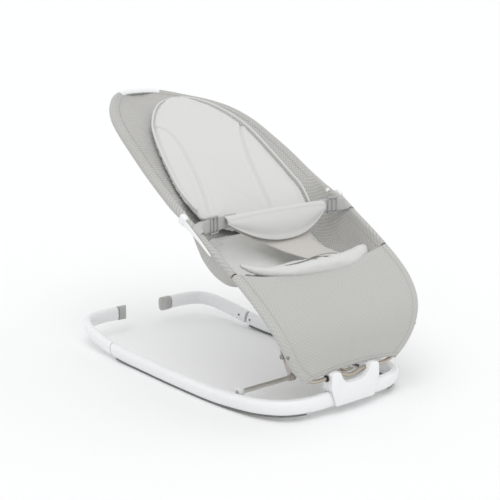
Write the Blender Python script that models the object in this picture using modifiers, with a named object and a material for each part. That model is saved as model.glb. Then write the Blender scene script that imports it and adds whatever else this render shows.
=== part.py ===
"""Baby bouncer seat on a rocker hoop: wire seat frame, fabric sling, padded liner, lap belt."""
import math

import bmesh
import bpy
import numpy as np
from mathutils import Matrix, Vector

for old in list(bpy.data.objects):
    bpy.data.objects.remove(old, do_unlink=True)

# ---------------------------------------------------------------- driving dimensions (metres)
GAP = 0.0003
# the whole object is moved by these, so that it stands on the floor with its middle at the origin
CENTRE_Y = 0.0066
FLOOR_Z = 0.0004

RAIL_HALF_THICK = 0.009
RAIL_HALF_HEIGHT = 0.015
RAIL_TILT = math.radians(12.0)
STRIP_HALF_WIDTH = 0.004
STRIP_HALF_HEIGHT = 0.0015
STRIP_INSET = 0.0020
STRIP_DROP = 0.0171
LEVEL_Z = 0.0190

# half plan of the base rail, front middle to rear tip: x, y, height of the tube centre
BASE_PLAN = [
    (0.000, -0.3330, 0.0310),
    (0.050, -0.3330, 0.0308),
    (0.100, -0.3285, 0.0298),
    (0.143, -0.3085, 0.0280),
    (0.168, -0.2650, 0.0248),
    (0.178, -0.2100, 0.0212),
    (0.184, -0.1500, 0.0190),
    (0.186, -0.0900, 0.0190),
    (0.186, 0.0000, 0.0190),
    (0.184, 0.0900, 0.0190),
    (0.184, 0.1400, 0.0200),
    (0.184, 0.1900, 0.0238),
    (0.182, 0.2500, 0.0320),
    (0.172, 0.3020, 0.0410),
    (0.150, 0.3300, 0.0455),
    (0.112, 0.3395, 0.0465),
    (0.072, 0.3400, 0.0460),
    (0.040, 0.3400, 0.0455),
]
JOINT_Y = 0.187
ARM_TIP_X = 0.0722
CAP_NOSE_X = 0.041

HINGE_Y = -0.333
HINGE_Z = 0.0725
WIRE_RADIUS = 0.004
BRACKET_HALF_WIDTH = 0.062
BRACKET_FRONT_Y = -0.347
BRACKET_BACK_Y = -0.3195

CROSSBAR_Y = -0.201
CROSSBAR_Z = 0.032
CROSSBAR_RADIUS = 0.0048
CROSSBAR_HALF_LENGTH = 0.166
LINK_X = 0.0300
LINK_HALF_THICK = 0.0015
LINK_HALF_WIDTH = 0.0075
PIN_Y = -0.181
PIN_Z = 0.0690
PIN_RADIUS = 0.0025
SLOT_HALF_TRAVEL = 0.009

# half of the lower seat wire, hinge line to hub: x, y, z
WIRE_PATH = [
    (0.000, -0.3330, 0.0660),
    (0.010, -0.3330, 0.0680),
    (0.022, -0.3330, 0.0720),
    (0.032, -0.3330, 0.0725),
    (0.050, -0.3330, 0.0725),
    (0.070, -0.3330, 0.0725),
    (0.088, -0.3330, 0.0730),
    (0.106, -0.3335, 0.0775),
    (0.122, -0.3345, 0.0880),
    (0.140, -0.3355, 0.1045),
    (0.157, -0.3365, 0.1300),
    (0.171, -0.3320, 0.1600),
    (0.181, -0.3180, 0.1880),
    (0.188, -0.2900, 0.2190),
    (0.191, -0.2560, 0.2450),
    (0.1925, -0.2210, 0.2680),
    (0.1940, -0.1800, 0.2930),
    (0.1945, -0.1380, 0.3170),
    (0.1940, -0.0985, 0.3400),
]
HUB_Y = -0.086
HUB_Z = 0.347
HUB_RADIUS = 0.0135
HUB_HALF_THICK = 0.0032
HUB_OUTER_X = 0.1985
HUB_INNER_X = 0.1910
HUB_PIN_RADIUS = 0.0035
BLADE_IN = 0.2015
BLADE_OUT = 0.2040

TUBE_RADIUS = 0.006
# half of the back tube, hub to head: x, y, z
TUBE_PATH = [
    (0.1893, -0.0725, 0.3521),
    (0.1890, -0.0480, 0.3620),
    (0.1860, -0.0020, 0.3870),
    (0.1830, 0.0470, 0.4165),
    (0.1770, 0.0940, 0.4435),
    (0.1670, 0.1550, 0.4770),
    (0.1500, 0.2080, 0.5000),
    (0.1250, 0.2540, 0.5140),
    (0.0960, 0.2950, 0.5230),
    (0.0700, 0.3260, 0.5300),
    (0.0450, 0.3440, 0.5350),
    (0.0200, 0.3505, 0.5370),
    (0.0000, 0.3515, 0.5372),
]
SLEEVE_GAP = 0.0012
SLEEVE_OUT = 0.0027
CLOTH_THICK = 0.0022
EDGE_INSET = 0.0022
PAD_THICK = 0.014

# centre line of the sling, front hem to head: y, z
CALF_CENTRE = [
    (-0.3335, 0.0860),
    (-0.3370, 0.1150),
    (-0.3370, 0.1450),
    (-0.3290, 0.1720),
    (-0.3090, 0.1960),
    (-0.2780, 0.2150),
    (-0.2300, 0.2290),
]
POCKET_CENTRE = [
    (-0.2230, 0.2300),
    (-0.1950, 0.2230),
    (-0.1600, 0.2200),
    (-0.1200, 0.2330),
    (-0.0880, 0.2600),
    (-0.0640, 0.2930),
]
BACK_CENTRE = [
    (-0.0540, 0.3000),
    (0.0000, 0.3460),
    (0.0500, 0.3860),
    (0.1000, 0.4220),
    (0.1600, 0.4590),
    (0.2100, 0.4830),
    (0.2600, 0.5020),
    (0.3000, 0.5145),
    (0.3300, 0.5235),
]

FLAP_HALF_WIDTH = 0.128
FLAP_THICK = 0.009
STRAP_HALF_WIDTH = 0.0125
STRAP_THICK = 0.0018
WINDOW_GAP = 0.0010
ADJUSTER_X = 0.153

WHITE = (0.86, 0.87, 0.87, 1.0)


# ---------------------------------------------------------------- collections
def new_collection(name):
    collection = bpy.data.collections.new(name)
    bpy.context.scene.collection.children.link(collection)
    return collection


PIECES = new_collection("bouncer_seat")
CUTTERS = new_collection("cutters")


def material(name, colour, roughness, metallic=0.0, coat=0.0):
    """One Principled material."""
    made = bpy.data.materials.new(name)
    made.use_nodes = True
    shader = made.node_tree.nodes["Principled BSDF"]
    shader.inputs["Base Color"].default_value = colour
    shader.inputs["Roughness"].default_value = roughness
    shader.inputs["Metallic"].default_value = metallic
    shader.inputs["Coat Weight"].default_value = coat
    made.diffuse_color = colour
    return made


MAT = {
    "white_shell": material("white_shell", WHITE, 0.32, 0.0, 0.2),
    "white_cover": material("white_cover", (0.84, 0.85, 0.85, 1.0), 0.38),
    "grey_cap": material("grey_cap", (0.42, 0.42, 0.41, 1.0), 0.5),
    "grip_rubber": material("grip_rubber", (0.05, 0.055, 0.06, 1.0), 0.8),
    "wire_metal": material("wire_metal", (0.62, 0.57, 0.50, 1.0), 0.28, 1.0),
    "bar_metal": material("bar_metal", (0.42, 0.41, 0.37, 1.0), 0.42, 1.0),
    "link_metal": material("link_metal", (0.70, 0.64, 0.62, 1.0), 0.35, 1.0),
    "tube_metal": material("tube_metal", (0.60, 0.60, 0.60, 1.0), 0.35, 1.0),
    "screw_metal": material("screw_metal", (0.35, 0.35, 0.36, 1.0), 0.35, 1.0),
    "dark_insert": material("dark_insert", (0.03, 0.03, 0.03, 1.0), 0.6),
    "knit_lower": material("knit_lower", (0.56, 0.56, 0.54, 1.0), 0.9),
    "mesh_upper": material("mesh_upper", (0.52, 0.51, 0.49, 1.0), 0.9),
    "liner_fabric": material("liner_fabric", (0.72, 0.72, 0.71, 1.0), 0.85),
    "belt_fabric": material("belt_fabric", (0.60, 0.60, 0.59, 1.0), 0.85),
    "crotch_fabric": material("crotch_fabric", (0.56, 0.53, 0.49, 1.0), 0.9),
    "webbing": material("webbing", (0.50, 0.50, 0.49, 1.0), 0.85),
    "buckle_grey": material("buckle_grey", (0.36, 0.37, 0.37, 1.0), 0.45),
}


# ---------------------------------------------------------------- shape helpers
def smooth_path(points, count):
    """Even samples along a smooth curve through the points."""
    pts = np.array(points, dtype=float)
    ends = np.vstack([2 * pts[0] - pts[1], pts, 2 * pts[-1] - pts[-2]])
    fine = []
    for i in range(1, len(ends) - 2):
        p0, p1, p2, p3 = ends[i - 1:i + 3]
        for t in np.linspace(0.0, 1.0, 16, endpoint=False):
            fine.append(0.5 * (2 * p1 + (p2 - p0) * t + (2 * p0 - 5 * p1 + 4 * p2 - p3) * t ** 2
                               + (3 * p1 - p0 - 3 * p2 + p3) * t ** 3))
    fine.append(pts[-1])
    fine = np.array(fine)
    run = np.concatenate([[0.0], np.cumsum(np.linalg.norm(np.diff(fine, axis=0), axis=1))])
    at = np.linspace(0.0, run[-1], count)
    return np.column_stack([np.interp(at, run, fine[:, k]) for k in range(pts.shape[1])])


def mirrored(points):
    """A half path from the middle outward, made into the whole path from left to right."""
    half = [tuple(p) for p in points]
    left = [(-p[0], p[1], p[2]) for p in reversed(half) if abs(p[0]) > 1e-9]
    return left + half


def mesh_object(name, verts, faces, slot, collection=None, smooth=True):
    mesh = bpy.data.meshes.new(name)
    mesh.from_pydata([tuple(v) for v in verts], [], faces)
    mesh.materials.append(MAT[slot])
    work = bmesh.new()
    work.from_mesh(mesh)
    bmesh.ops.recalc_face_normals(work, faces=work.faces)
    for face in work.faces:
        face.smooth = smooth
    work.to_mesh(mesh)
    work.free()
    made = bpy.data.objects.new(name, mesh)
    (collection or PIECES).objects.link(made)
    return made


def path_frames(path, tilt):
    """Tangent, side and up directions along a path, with the up direction leaning sideways."""
    tangent = np.gradient(path, axis=0)
    tangent /= np.linalg.norm(tangent, axis=1)[:, None]
    side = np.cross(tangent, [0.0, 0.0, 1.0])
    side /= np.linalg.norm(side, axis=1)[:, None]
    up = np.cross(side, tangent)
    lean = np.asarray(tilt, dtype=float)[:, None] * np.ones((len(path), 1))
    return tangent, side * np.cos(lean) - up * np.sin(lean), up * np.cos(lean) + side * np.sin(lean)


def loft(name, rings, slot, collection=None):
    """A closed solid through equal rings, with flat ends."""
    count = len(rings[0])
    verts = [v for ring in rings for v in ring]
    faces = []
    for i in range(len(rings) - 1):
        for j in range(count):
            k = (j + 1) % count
            faces.append((i * count + j, i * count + k, (i + 1) * count + k, (i + 1) * count + j))
    faces.append(tuple(range(count)))
    faces.append(tuple(range((len(rings) - 1) * count, len(rings) * count)))
    return mesh_object(name, verts, faces, slot, collection)


def rail_section(half_thick, half_height, sides):
    """A soft oval, a little squarer than an ellipse."""
    out = []
    for angle in np.linspace(0.0, 2 * math.pi, sides, endpoint=False):
        c, s = math.cos(angle), math.sin(angle)
        out.append((half_thick * math.copysign(abs(c) ** 0.78, c),
                    half_height * math.copysign(abs(s) ** 0.78, s)))
    return out


def rail_tilt(path):
    """Outward lean of the rail: none at the front bracket, full along the sides."""
    return RAIL_TILT * np.clip((np.abs(path[:, 0]) - 0.07) / 0.08, 0.0, 1.0)


def sweep_rail(name, path, section, slot, drop=0.0, collection=None):
    _, side, up = path_frames(path, rail_tilt(path))
    rings = []
    for p, s, u in zip(path, side, up):
        rings.append([p + s * a + u * (b - drop) for a, b in section])
    return loft(name, rings, slot, collection)


def wire(name, path, radius, slot, collection=None, sides=2):
    """Round wire along a path, as a finished mesh with flat ends."""
    curve = bpy.data.curves.new(name, "CURVE")
    curve.dimensions = "3D"
    curve.bevel_depth = radius
    curve.bevel_resolution = sides
    curve.use_fill_caps = True
    curve.resolution_u = 1
    curve.render_resolution_u = 0
    spline = curve.splines.new("POLY")
    spline.points.add(len(path) - 1)
    for point, place in zip(spline.points, path):
        point.co = (place[0], place[1], place[2], 1.0)
    drawn = bpy.data.objects.new(name + "_line", curve)
    bpy.context.scene.collection.objects.link(drawn)
    bpy.context.view_layer.update()
    shape = bpy.data.meshes.new_from_object(drawn.evaluated_get(bpy.context.evaluated_depsgraph_get()))
    bpy.data.objects.remove(drawn, do_unlink=True)
    work = bmesh.new()
    work.from_mesh(shape)
    bmesh.ops.remove_doubles(work, verts=work.verts, dist=1e-6)
    bmesh.ops.recalc_face_normals(work, faces=work.faces)
    for face in work.faces:
        face.smooth = len(face.verts) == 4
    shape.materials.clear()
    work.to_mesh(shape)
    work.free()
    shape.name = name
    shape.materials.append(MAT[slot])
    made = bpy.data.objects.new(name, shape)
    (collection or PIECES).objects.link(made)
    return made


def sleeve(name, path, inner, outer, slot, sides=8):
    """A hollow fabric tube round a path, open at both ends."""
    tangent = np.gradient(path, axis=0)
    tangent /= np.linalg.norm(tangent, axis=1)[:, None]
    side = np.cross(tangent, [0.0, 1.0, 1.0])
    side /= np.linalg.norm(side, axis=1)[:, None]
    up = np.cross(side, tangent)
    verts = []
    for p, s, u in zip(path, side, up):
        for radius in (outer, inner):
            for angle in np.linspace(0.0, 2 * math.pi, sides, endpoint=False):
                verts.append(p + s * radius * math.cos(angle) + u * radius * math.sin(angle))
    faces = []
    ring = 2 * sides
    last = (len(path) - 1) * ring
    for j in range(sides):
        k = (j + 1) % sides
        for i in range(len(path) - 1):
            a, b = i * ring, (i + 1) * ring
            faces.append((a + j, a + k, b + k, b + j))
            faces.append((a + sides + k, a + sides + j, b + sides + j, b + sides + k))
        faces.append((j, sides + j, sides + k, k))
        faces.append((last + k, last + sides + k, last + sides + j, last + j))
    return mesh_object(name, verts, faces, slot)


def sheet(name, rows, thickness, slot, offset=0.0, smooth=True):
    """A sheet through a grid of points, thickened by Solidify."""
    wide = len(rows[0])
    verts = [v for row in rows for v in row]
    faces = []
    for i in range(len(rows) - 1):
        for j in range(wide - 1):
            faces.append((i * wide + j, i * wide + j + 1, (i + 1) * wide + j + 1, (i + 1) * wide + j))
    made = mesh_object(name, verts, faces, slot, smooth=smooth)
    solid = made.modifiers.new("thickness", "SOLIDIFY")
    solid.thickness = thickness
    solid.offset = offset
    solid.use_even_offset = True
    return made


def box(name, low, high, slot, collection=None, bevel=0.0):
    """A box between two corners, with small rounded edges."""
    work = bmesh.new()
    bmesh.ops.create_cube(work, size=1.0)
    size = Vector(high) - Vector(low)
    middle = (Vector(high) + Vector(low)) / 2
    bmesh.ops.scale(work, vec=size, verts=work.verts)
    bmesh.ops.translate(work, vec=middle, verts=work.verts)
    if bevel > 0.0:
        bmesh.ops.bevel(work, geom=work.edges[:] + work.verts[:], offset=bevel, segments=2,
                        profile=0.5, affect="EDGES")
    mesh = bpy.data.meshes.new(name)
    work.to_mesh(mesh)
    work.free()
    mesh.materials.append(MAT[slot])
    made = bpy.data.objects.new(name, mesh)
    (collection or PIECES).objects.link(made)
    return made


def rod_x(name, x0, x1, y, z, radius, slot, collection=None, sides=16, bevel=0.0):
    """A cylinder lying across the object, from x0 to x1."""
    work = bmesh.new()
    turn = Matrix.Rotation(math.pi / 2, 4, "Y")
    move = Matrix.Translation(((x0 + x1) / 2, y, z))
    bmesh.ops.create_cone(work, cap_ends=True, segments=sides, radius1=radius, radius2=radius,
                          depth=abs(x1 - x0), matrix=move @ turn)
    if bevel > 0.0:
        rims = [edge for edge in work.edges if any(len(face.verts) > 4 for face in edge.link_faces)]
        bmesh.ops.bevel(work, geom=rims, offset=bevel, segments=2, profile=0.5, affect="EDGES")
    for face in work.faces:
        face.smooth = len(face.verts) == 4
    mesh = bpy.data.meshes.new(name)
    work.to_mesh(mesh)
    work.free()
    mesh.materials.append(MAT[slot])
    made = bpy.data.objects.new(name, mesh)
    (collection or PIECES).objects.link(made)
    return made


def rod_y(name, y0, y1, x, z, radius, slot, collection=None, sides=14):
    """A cylinder lying front to back, from y0 to y1."""
    work = bmesh.new()
    turn = Matrix.Rotation(math.pi / 2, 4, "X")
    move = Matrix.Translation((x, (y0 + y1) / 2, z))
    bmesh.ops.create_cone(work, cap_ends=True, segments=sides, radius1=radius, radius2=radius,
                          depth=abs(y1 - y0), matrix=move @ turn)
    mesh = bpy.data.meshes.new(name)
    work.to_mesh(mesh)
    work.free()
    mesh.materials.append(MAT[slot])
    made = bpy.data.objects.new(name, mesh)
    (collection or PIECES).objects.link(made)
    return made


def plate(name, outline, axis, low, high, slot, collection=None, bevel=0.0):
    """A flat outline pushed out along X or Y between two depths."""
    verts = []
    for depth in (low, high):
        for a, b in outline:
            verts.append((depth, a, b) if axis == "x" else (a, depth, b))
    count = len(outline)
    faces = [tuple(range(count)), tuple(range(2 * count - 1, count - 1, -1))]
    for j in range(count):
        k = (j + 1) % count
        faces.append((j, k, count + k, count + j))
    made = mesh_object(name, verts, faces, slot, collection, smooth=False)
    if bevel > 0.0:
        work = bmesh.new()
        work.from_mesh(made.data)
        rims = [e for e in work.edges if len(e.link_faces) == 2 and e.calc_face_angle() > 1.0]
        bmesh.ops.bevel(work, geom=rims, offset=bevel, segments=2, profile=0.5, affect="EDGES")
        work.to_mesh(made.data)
        work.free()
    return made


def cut(target, cutter):
    step = target.modifiers.new("cut_" + cutter.name[:20], "BOOLEAN")
    step.operation = "DIFFERENCE"
    step.solver = "EXACT"
    step.object = cutter


def join(target, added):
    step = target.modifiers.new("add_" + added.name[:20], "BOOLEAN")
    step.operation = "UNION"
    step.solver = "EXACT"
    step.object = added


def capsule(ay, az, by, bz, radius, sides=9):
    """Outline of a plate with round ends between two centres, in the Y-Z plane."""
    direction = math.atan2(bz - az, by - ay)
    out = []
    for angle in np.linspace(direction + math.pi / 2, direction + 3 * math.pi / 2, sides):
        out.append((ay + radius * math.cos(angle), az + radius * math.sin(angle)))
    for angle in np.linspace(direction - math.pi / 2, direction + math.pi / 2, sides):
        out.append((by + radius * math.cos(angle), bz + radius * math.sin(angle)))
    return out


SIDES = (("left", -1.0), ("right", 1.0))

# ---------------------------------------------------------------- base: hoop, arms, joints
whole = smooth_path(mirrored(BASE_PLAN), 241)
whole[:, 2] = np.maximum(whole[:, 2], LEVEL_Z)
front_part = np.array([p for p in whole if p[1] <= JOINT_Y - GAP / 2])
hoop_section = rail_section(RAIL_HALF_THICK, RAIL_HALF_HEIGHT, 16)
base_hoop = sweep_rail("base_hoop", smooth_path(front_part[::3], 54), hoop_section, "white_shell")

for side_name, sign in SIDES:
    arm = [p for p in whole if p[1] > JOINT_Y + GAP / 2 and p[0] * sign > ARM_TIP_X]
    rear_arm = sweep_rail("rear_arm_" + side_name, smooth_path(arm, 24), hoop_section, "white_shell")

    near_joint = np.array([p for p in whole if abs(p[1] - JOINT_Y) < 0.034 and p[0] * sign > 0.1])
    near_joint = smooth_path(near_joint, 7)
    spigot_section = rail_section(RAIL_HALF_THICK - 0.0028, RAIL_HALF_HEIGHT - 0.0035, 12)
    pocket_section = rail_section(RAIL_HALF_THICK - 0.0028 + 1.5 * GAP, RAIL_HALF_HEIGHT - 0.0035 + 1.5 * GAP, 12)
    spigot = sweep_rail("joint_spigot_" + side_name, near_joint, spigot_section, "grey_cap")
    longer = np.vstack([near_joint[0] * 1.02 - near_joint[1] * 0.02, near_joint,
                        near_joint[-1] * 1.02 - near_joint[-2] * 0.02])
    pocket = sweep_rail("pocket_" + side_name, longer, pocket_section, "grey_cap", collection=CUTTERS)
    cut(base_hoop, pocket)
    cut(rear_arm, pocket)

    # grey end cap, cut slantwise towards the front
    tip = [p for p in smooth_path(BASE_PLAN[-4:], 40) if CAP_NOSE_X < p[0] < ARM_TIP_X - GAP]
    tip = smooth_path(tip[::4], 6)
    tip = tip if sign > 0 else (tip * np.array([-1.0, 1.0, 1.0]))[::-1]
    cap = sweep_rail("end_cap_" + side_name, tip, rail_section(0.0098, 0.0158, 16), "grey_cap")
    slant = box("slant_" + side_name, (-0.05, -0.03, -0.04), (0.05, 0.03, 0.04), "grey_cap", CUTTERS)
    slant.rotation_euler = (0.0, 0.0, sign * math.radians(-48.0))
    slant.location = (sign * 0.035, 0.3105, 0.046)
    cut(cap, slant)

    # two small screws through the inner wall into the spigot
    for label, away in (("front", -0.020), ("rear", 0.022)):
        nearest = min(whole, key=lambda p: abs(p[1] - JOINT_Y - away) + (0.0 if p[0] * sign > 0 else 9.0))
        inner_x = nearest[0] - sign * (RAIL_HALF_THICK - 0.0012)
        name = "joint_screw_" + side_name + "_" + label
        rod_x(name, inner_x - sign * 0.0022, inner_x + sign * 0.0062, nearest[1], nearest[2], 0.0022,
              "screw_metal", sides=12)
        hole = rod_x("hole_" + name, inner_x - sign * 0.008, inner_x + sign * 0.0068, nearest[1],
                     nearest[2], 0.0022 + GAP, "screw_metal", CUTTERS, sides=12)
        cut(base_hoop if label == "front" else rear_arm, hole)
        cut(spigot, hole)

    # rubber grip strip under the rail, with a level underside
    under = np.array([p for p in whole if p[0] * sign > 0.105 and p[1] < JOINT_Y - 0.006])
    under = smooth_path(under[::2], 34)
    _, outward, _ = path_frames(under, np.zeros(len(under)))
    under = under - outward * STRIP_INSET - np.array([0.0, 0.0, STRIP_DROP])
    _, outward, upward = path_frames(under, np.zeros(len(under)))
    rings = []
    for p, o, u in zip(under, outward, upward):
        rings.append([p + o * (STRIP_HALF_WIDTH * i) + u * (STRIP_HALF_HEIGHT * j)
                      for i, j in ((-1, -1), (1, -1), (1, 1), (-1, 1))])
    loft("grip_strip_" + side_name, rings, "grip_rubber")

# ---------------------------------------------------------------- front bracket in two shells
prong_outline = [
    (-0.0500, 0.0190), (-0.0620, 0.0560), (-0.0605, 0.0790), (-0.0565, 0.0835), (-0.0440, 0.0840),
    (-0.0390, 0.0815), (-0.0340, 0.0700), (-0.0260, 0.0610), (-0.0120, 0.0575), (0.0120, 0.0575),
    (0.0260, 0.0610), (0.0340, 0.0700), (0.0390, 0.0815), (0.0440, 0.0840), (0.0565, 0.0835),
    (0.0605, 0.0790), (0.0620, 0.0560), (0.0500, 0.0190), (0.0470, 0.0178), (-0.0470, 0.0178),
]
front_shell = plate("bracket_front_shell", prong_outline, "y", BRACKET_FRONT_Y, HINGE_Y - GAP / 2,
                    "white_cover", bevel=0.0012)
rear_shell = plate("bracket_rear_shell", prong_outline, "y", HINGE_Y + GAP / 2, BRACKET_BACK_Y,
                   "white_cover", bevel=0.0012)
hoop_cutter = sweep_rail("hoop_clearance", np.array([p for p in whole if p[1] < -0.30])[::3],
                         rail_section(RAIL_HALF_THICK + 2 * GAP, RAIL_HALF_HEIGHT + 2 * GAP, 16),
                         "grey_cap", collection=CUTTERS)
wire_half = smooth_path(WIRE_PATH, 48)
wire_whole = np.array(mirrored(wire_half))
hinge_cutter = rod_x("hinge_clearance", -0.08, 0.08, HINGE_Y, HINGE_Z, WIRE_RADIUS + 0.0005,
                     "grey_cap", CUTTERS, sides=16)
for shell in (front_shell, rear_shell):
    cut(shell, hoop_cutter)
    cut(shell, hinge_cutter)
for side_name, sign in SIDES:
    name = "bracket_screw_" + side_name
    screw_x = sign * 0.048
    rod_y(name, BRACKET_BACK_Y + 0.0016, HINGE_Y - 0.006, screw_x, 0.0570, 0.0017, "screw_metal")
    head = rod_y("head_" + name, BRACKET_BACK_Y + GAP, BRACKET_BACK_Y + 0.0020, screw_x, 0.0570, 0.0035,
                 "screw_metal", CUTTERS)
    join(bpy.data.objects[name], head)
    bore = rod_y("bore_" + name, BRACKET_BACK_Y + 0.004, HINGE_Y - 0.0066, screw_x, 0.0570,
                 0.0017 + GAP, "screw_metal", CUTTERS)
    cut(front_shell, bore)
    cut(rear_shell, bore)
    inner, outer = sign * (BRACKET_HALF_WIDTH + GAP), sign * (BRACKET_HALF_WIDTH + 0.0030)
    grommet = rod_x("wire_grommet_" + side_name, inner, outer, HINGE_Y, HINGE_Z, 0.0063, "dark_insert")
    grommet_hole = rod_x("grommet_hole_" + side_name, sign * 0.055, sign * 0.075, HINGE_Y, HINGE_Z,
                         WIRE_RADIUS + 0.0004, "dark_insert", CUTTERS)
    cut(grommet, grommet_hole)

# ---------------------------------------------------------------- crossbar and travel links
crossbar = rod_x("crossbar", -CROSSBAR_HALF_LENGTH, CROSSBAR_HALF_LENGTH, CROSSBAR_Y, CROSSBAR_Z,
                 CROSSBAR_RADIUS, "bar_metal", sides=18, bevel=0.0006)
lean = math.atan2(PIN_Z - CROSSBAR_Z, PIN_Y - CROSSBAR_Y)
reach = math.hypot(PIN_Z - CROSSBAR_Z, PIN_Y - CROSSBAR_Y)
top_y = CROSSBAR_Y + (reach + SLOT_HALF_TRAVEL) * math.cos(lean)
top_z = CROSSBAR_Z + (reach + SLOT_HALF_TRAVEL) * math.sin(lean)
low_y = CROSSBAR_Y + (reach - SLOT_HALF_TRAVEL) * math.cos(lean)
low_z = CROSSBAR_Z + (reach - SLOT_HALF_TRAVEL) * math.sin(lean)
for side_name, sign in SIDES:
    cup = rod_x("crossbar_socket_" + side_name, sign * 0.1540, sign * 0.1655, CROSSBAR_Y, CROSSBAR_Z,
                0.0085, "white_cover", bevel=0.0008)
    cup_hole = rod_x("cup_hole_" + side_name, sign * 0.150, sign * 0.180, CROSSBAR_Y, CROSSBAR_Z,
                     CROSSBAR_RADIUS + GAP, "white_cover", CUTTERS, sides=18)
    cut(cup, cup_hole)
    near, far = sign * (LINK_X - LINK_HALF_THICK), sign * (LINK_X + LINK_HALF_THICK)
    link = plate("travel_link_" + side_name, capsule(CROSSBAR_Y, CROSSBAR_Z, top_y, top_z, LINK_HALF_WIDTH),
                 "x", min(near, far), max(near, far), "link_metal")
    bar_hole = rod_x("bar_hole_" + side_name, sign * 0.020, sign * 0.040, CROSSBAR_Y, CROSSBAR_Z,
                     CROSSBAR_RADIUS + 0.0004, "link_metal", CUTTERS, sides=18)
    slot = plate("slot_" + side_name, capsule(low_y, low_z, top_y, top_z, PIN_RADIUS + 0.0012),
                 "x", sign * LINK_X - 0.01, sign * LINK_X + 0.01, "link_metal", CUTTERS)
    cut(link, bar_hole)
    cut(link, slot)
    for label, inside in (("inner", sign * (LINK_X - 0.0045)), ("outer", sign * (LINK_X + 0.0045))):
        name = "link_washer_" + side_name + "_" + label
        washer = rod_x(name, inside - 0.0012, inside + 0.0012, CROSSBAR_Y, CROSSBAR_Z, 0.0078, "bar_metal")
        washer_hole = rod_x("hole_" + name, inside - 0.004, inside + 0.004, CROSSBAR_Y, CROSSBAR_Z,
                            CROSSBAR_RADIUS + GAP, "bar_metal", CUTTERS, sides=18)
        cut(washer, washer_hole)

# ---------------------------------------------------------------- lower seat frame
seat_wire = wire("seat_wire", wire_whole, WIRE_RADIUS, "wire_metal", sides=1)
tail_half = [(0.0, -0.3255, 0.0745), (0.0080, -0.3250, 0.0745), (0.0135, -0.3180, 0.0745),
             (0.0165, -0.2950, 0.0740), (0.0210, -0.2300, 0.0712), (0.0215, PIN_Y - 0.0058, PIN_Z)]
tail = mirrored(tail_half)
tail_loop = wire("tail_loop", smooth_path(tail, 44), 0.0028, "wire_metal", sides=1)
link_pin = rod_x("link_pin", -0.0380, 0.0380, PIN_Y, PIN_Z, PIN_RADIUS, "wire_metal", sides=14)
for side_name, sign in SIDES:
    cap_name = "pin_cap_" + side_name
    pin_cap = rod_x(cap_name, sign * 0.0345, sign * 0.0395, PIN_Y, PIN_Z, 0.0052, "screw_metal", bevel=0.001)
    pin_hole = rod_x("hole_" + cap_name, sign * 0.030, sign * 0.0385, PIN_Y, PIN_Z, PIN_RADIUS + GAP,
                     "screw_metal", CUTTERS, sides=14)
    cut(pin_cap, pin_hole)

# ---------------------------------------------------------------- hubs at the hips
for side_name, sign in SIDES:
    outer_low, outer_high = HUB_OUTER_X - HUB_HALF_THICK, HUB_OUTER_X + HUB_HALF_THICK
    base_disc = rod_x("hub_base_" + side_name, sign * outer_low, sign * outer_high, HUB_Y, HUB_Z,
                      HUB_RADIUS, "white_cover", sides=22, bevel=0.0012)
    blade = [(HUB_Y + 0.004, HUB_Z - 0.004), (-0.110, 0.3260), (-0.140, 0.3090), (-0.168, 0.2920),
             (-0.171, 0.2955), (-0.143, 0.3170), (-0.112, 0.3395), (HUB_Y - 0.002, HUB_Z + 0.008)]
    strip = plate("hub_blade_" + side_name, blade, "x", min(sign * BLADE_IN, sign * BLADE_OUT),
                  max(sign * BLADE_IN, sign * BLADE_OUT), "white_cover", CUTTERS)
    join(base_disc, strip)
    inner_low, inner_high = HUB_INNER_X - HUB_HALF_THICK, HUB_INNER_X + HUB_HALF_THICK
    arm_disc = rod_x("hub_arm_" + side_name, sign * inner_low, sign * inner_high, HUB_Y, HUB_Z,
                     HUB_RADIUS, "white_cover", sides=22, bevel=0.0012)
    pin_head = rod_x("hub_pin_" + side_name, sign * (BLADE_OUT + GAP), sign * (BLADE_OUT + 0.0020),
                     HUB_Y, HUB_Z, 0.0062, "screw_metal", sides=18, bevel=0.0006)
    pin_shaft = rod_x("pin_shaft_" + side_name, sign * (inner_low + 0.0006), sign * (BLADE_OUT + 0.001),
                      HUB_Y, HUB_Z, HUB_PIN_RADIUS, "screw_metal", CUTTERS, sides=14)
    join(pin_head, pin_shaft)
    pin_bore = rod_x("pin_bore_" + side_name, sign * (inner_low - 0.002), sign * (BLADE_OUT + 0.002),
                     HUB_Y, HUB_Z, HUB_PIN_RADIUS + GAP, "screw_metal", CUTTERS, sides=14)
    cut(base_disc, pin_bore)
    cut(arm_disc, pin_bore)

# ---------------------------------------------------------------- back frame
tube_half = smooth_path([p for p in reversed(TUBE_PATH)], 34)
back_tube = wire("back_tube", np.array(mirrored(tube_half)), TUBE_RADIUS, "tube_metal", sides=2)

# ---------------------------------------------------------------- fabric sleeves round the frame
def sleeve_paths(half, low_z, high_z, inner, outer, name, slot):
    keep = np.array([p for p in half if low_z <= p[2] <= high_z])
    for side_name, sign in SIDES:
        run = keep * np.array([sign, 1.0, 1.0])
        sleeve(name + "_" + side_name, run, inner, outer, slot)


sleeve_paths(wire_half[9:], 0.0790, 0.3090, WIRE_RADIUS + SLEEVE_GAP, WIRE_RADIUS + SLEEVE_OUT,
             "lower_sleeve", "knit_lower")
sleeve_paths(tube_half, 0.3660, 0.5318, TUBE_RADIUS + SLEEVE_GAP, TUBE_RADIUS + SLEEVE_OUT,
             "back_sleeve", "mesh_upper")


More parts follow.
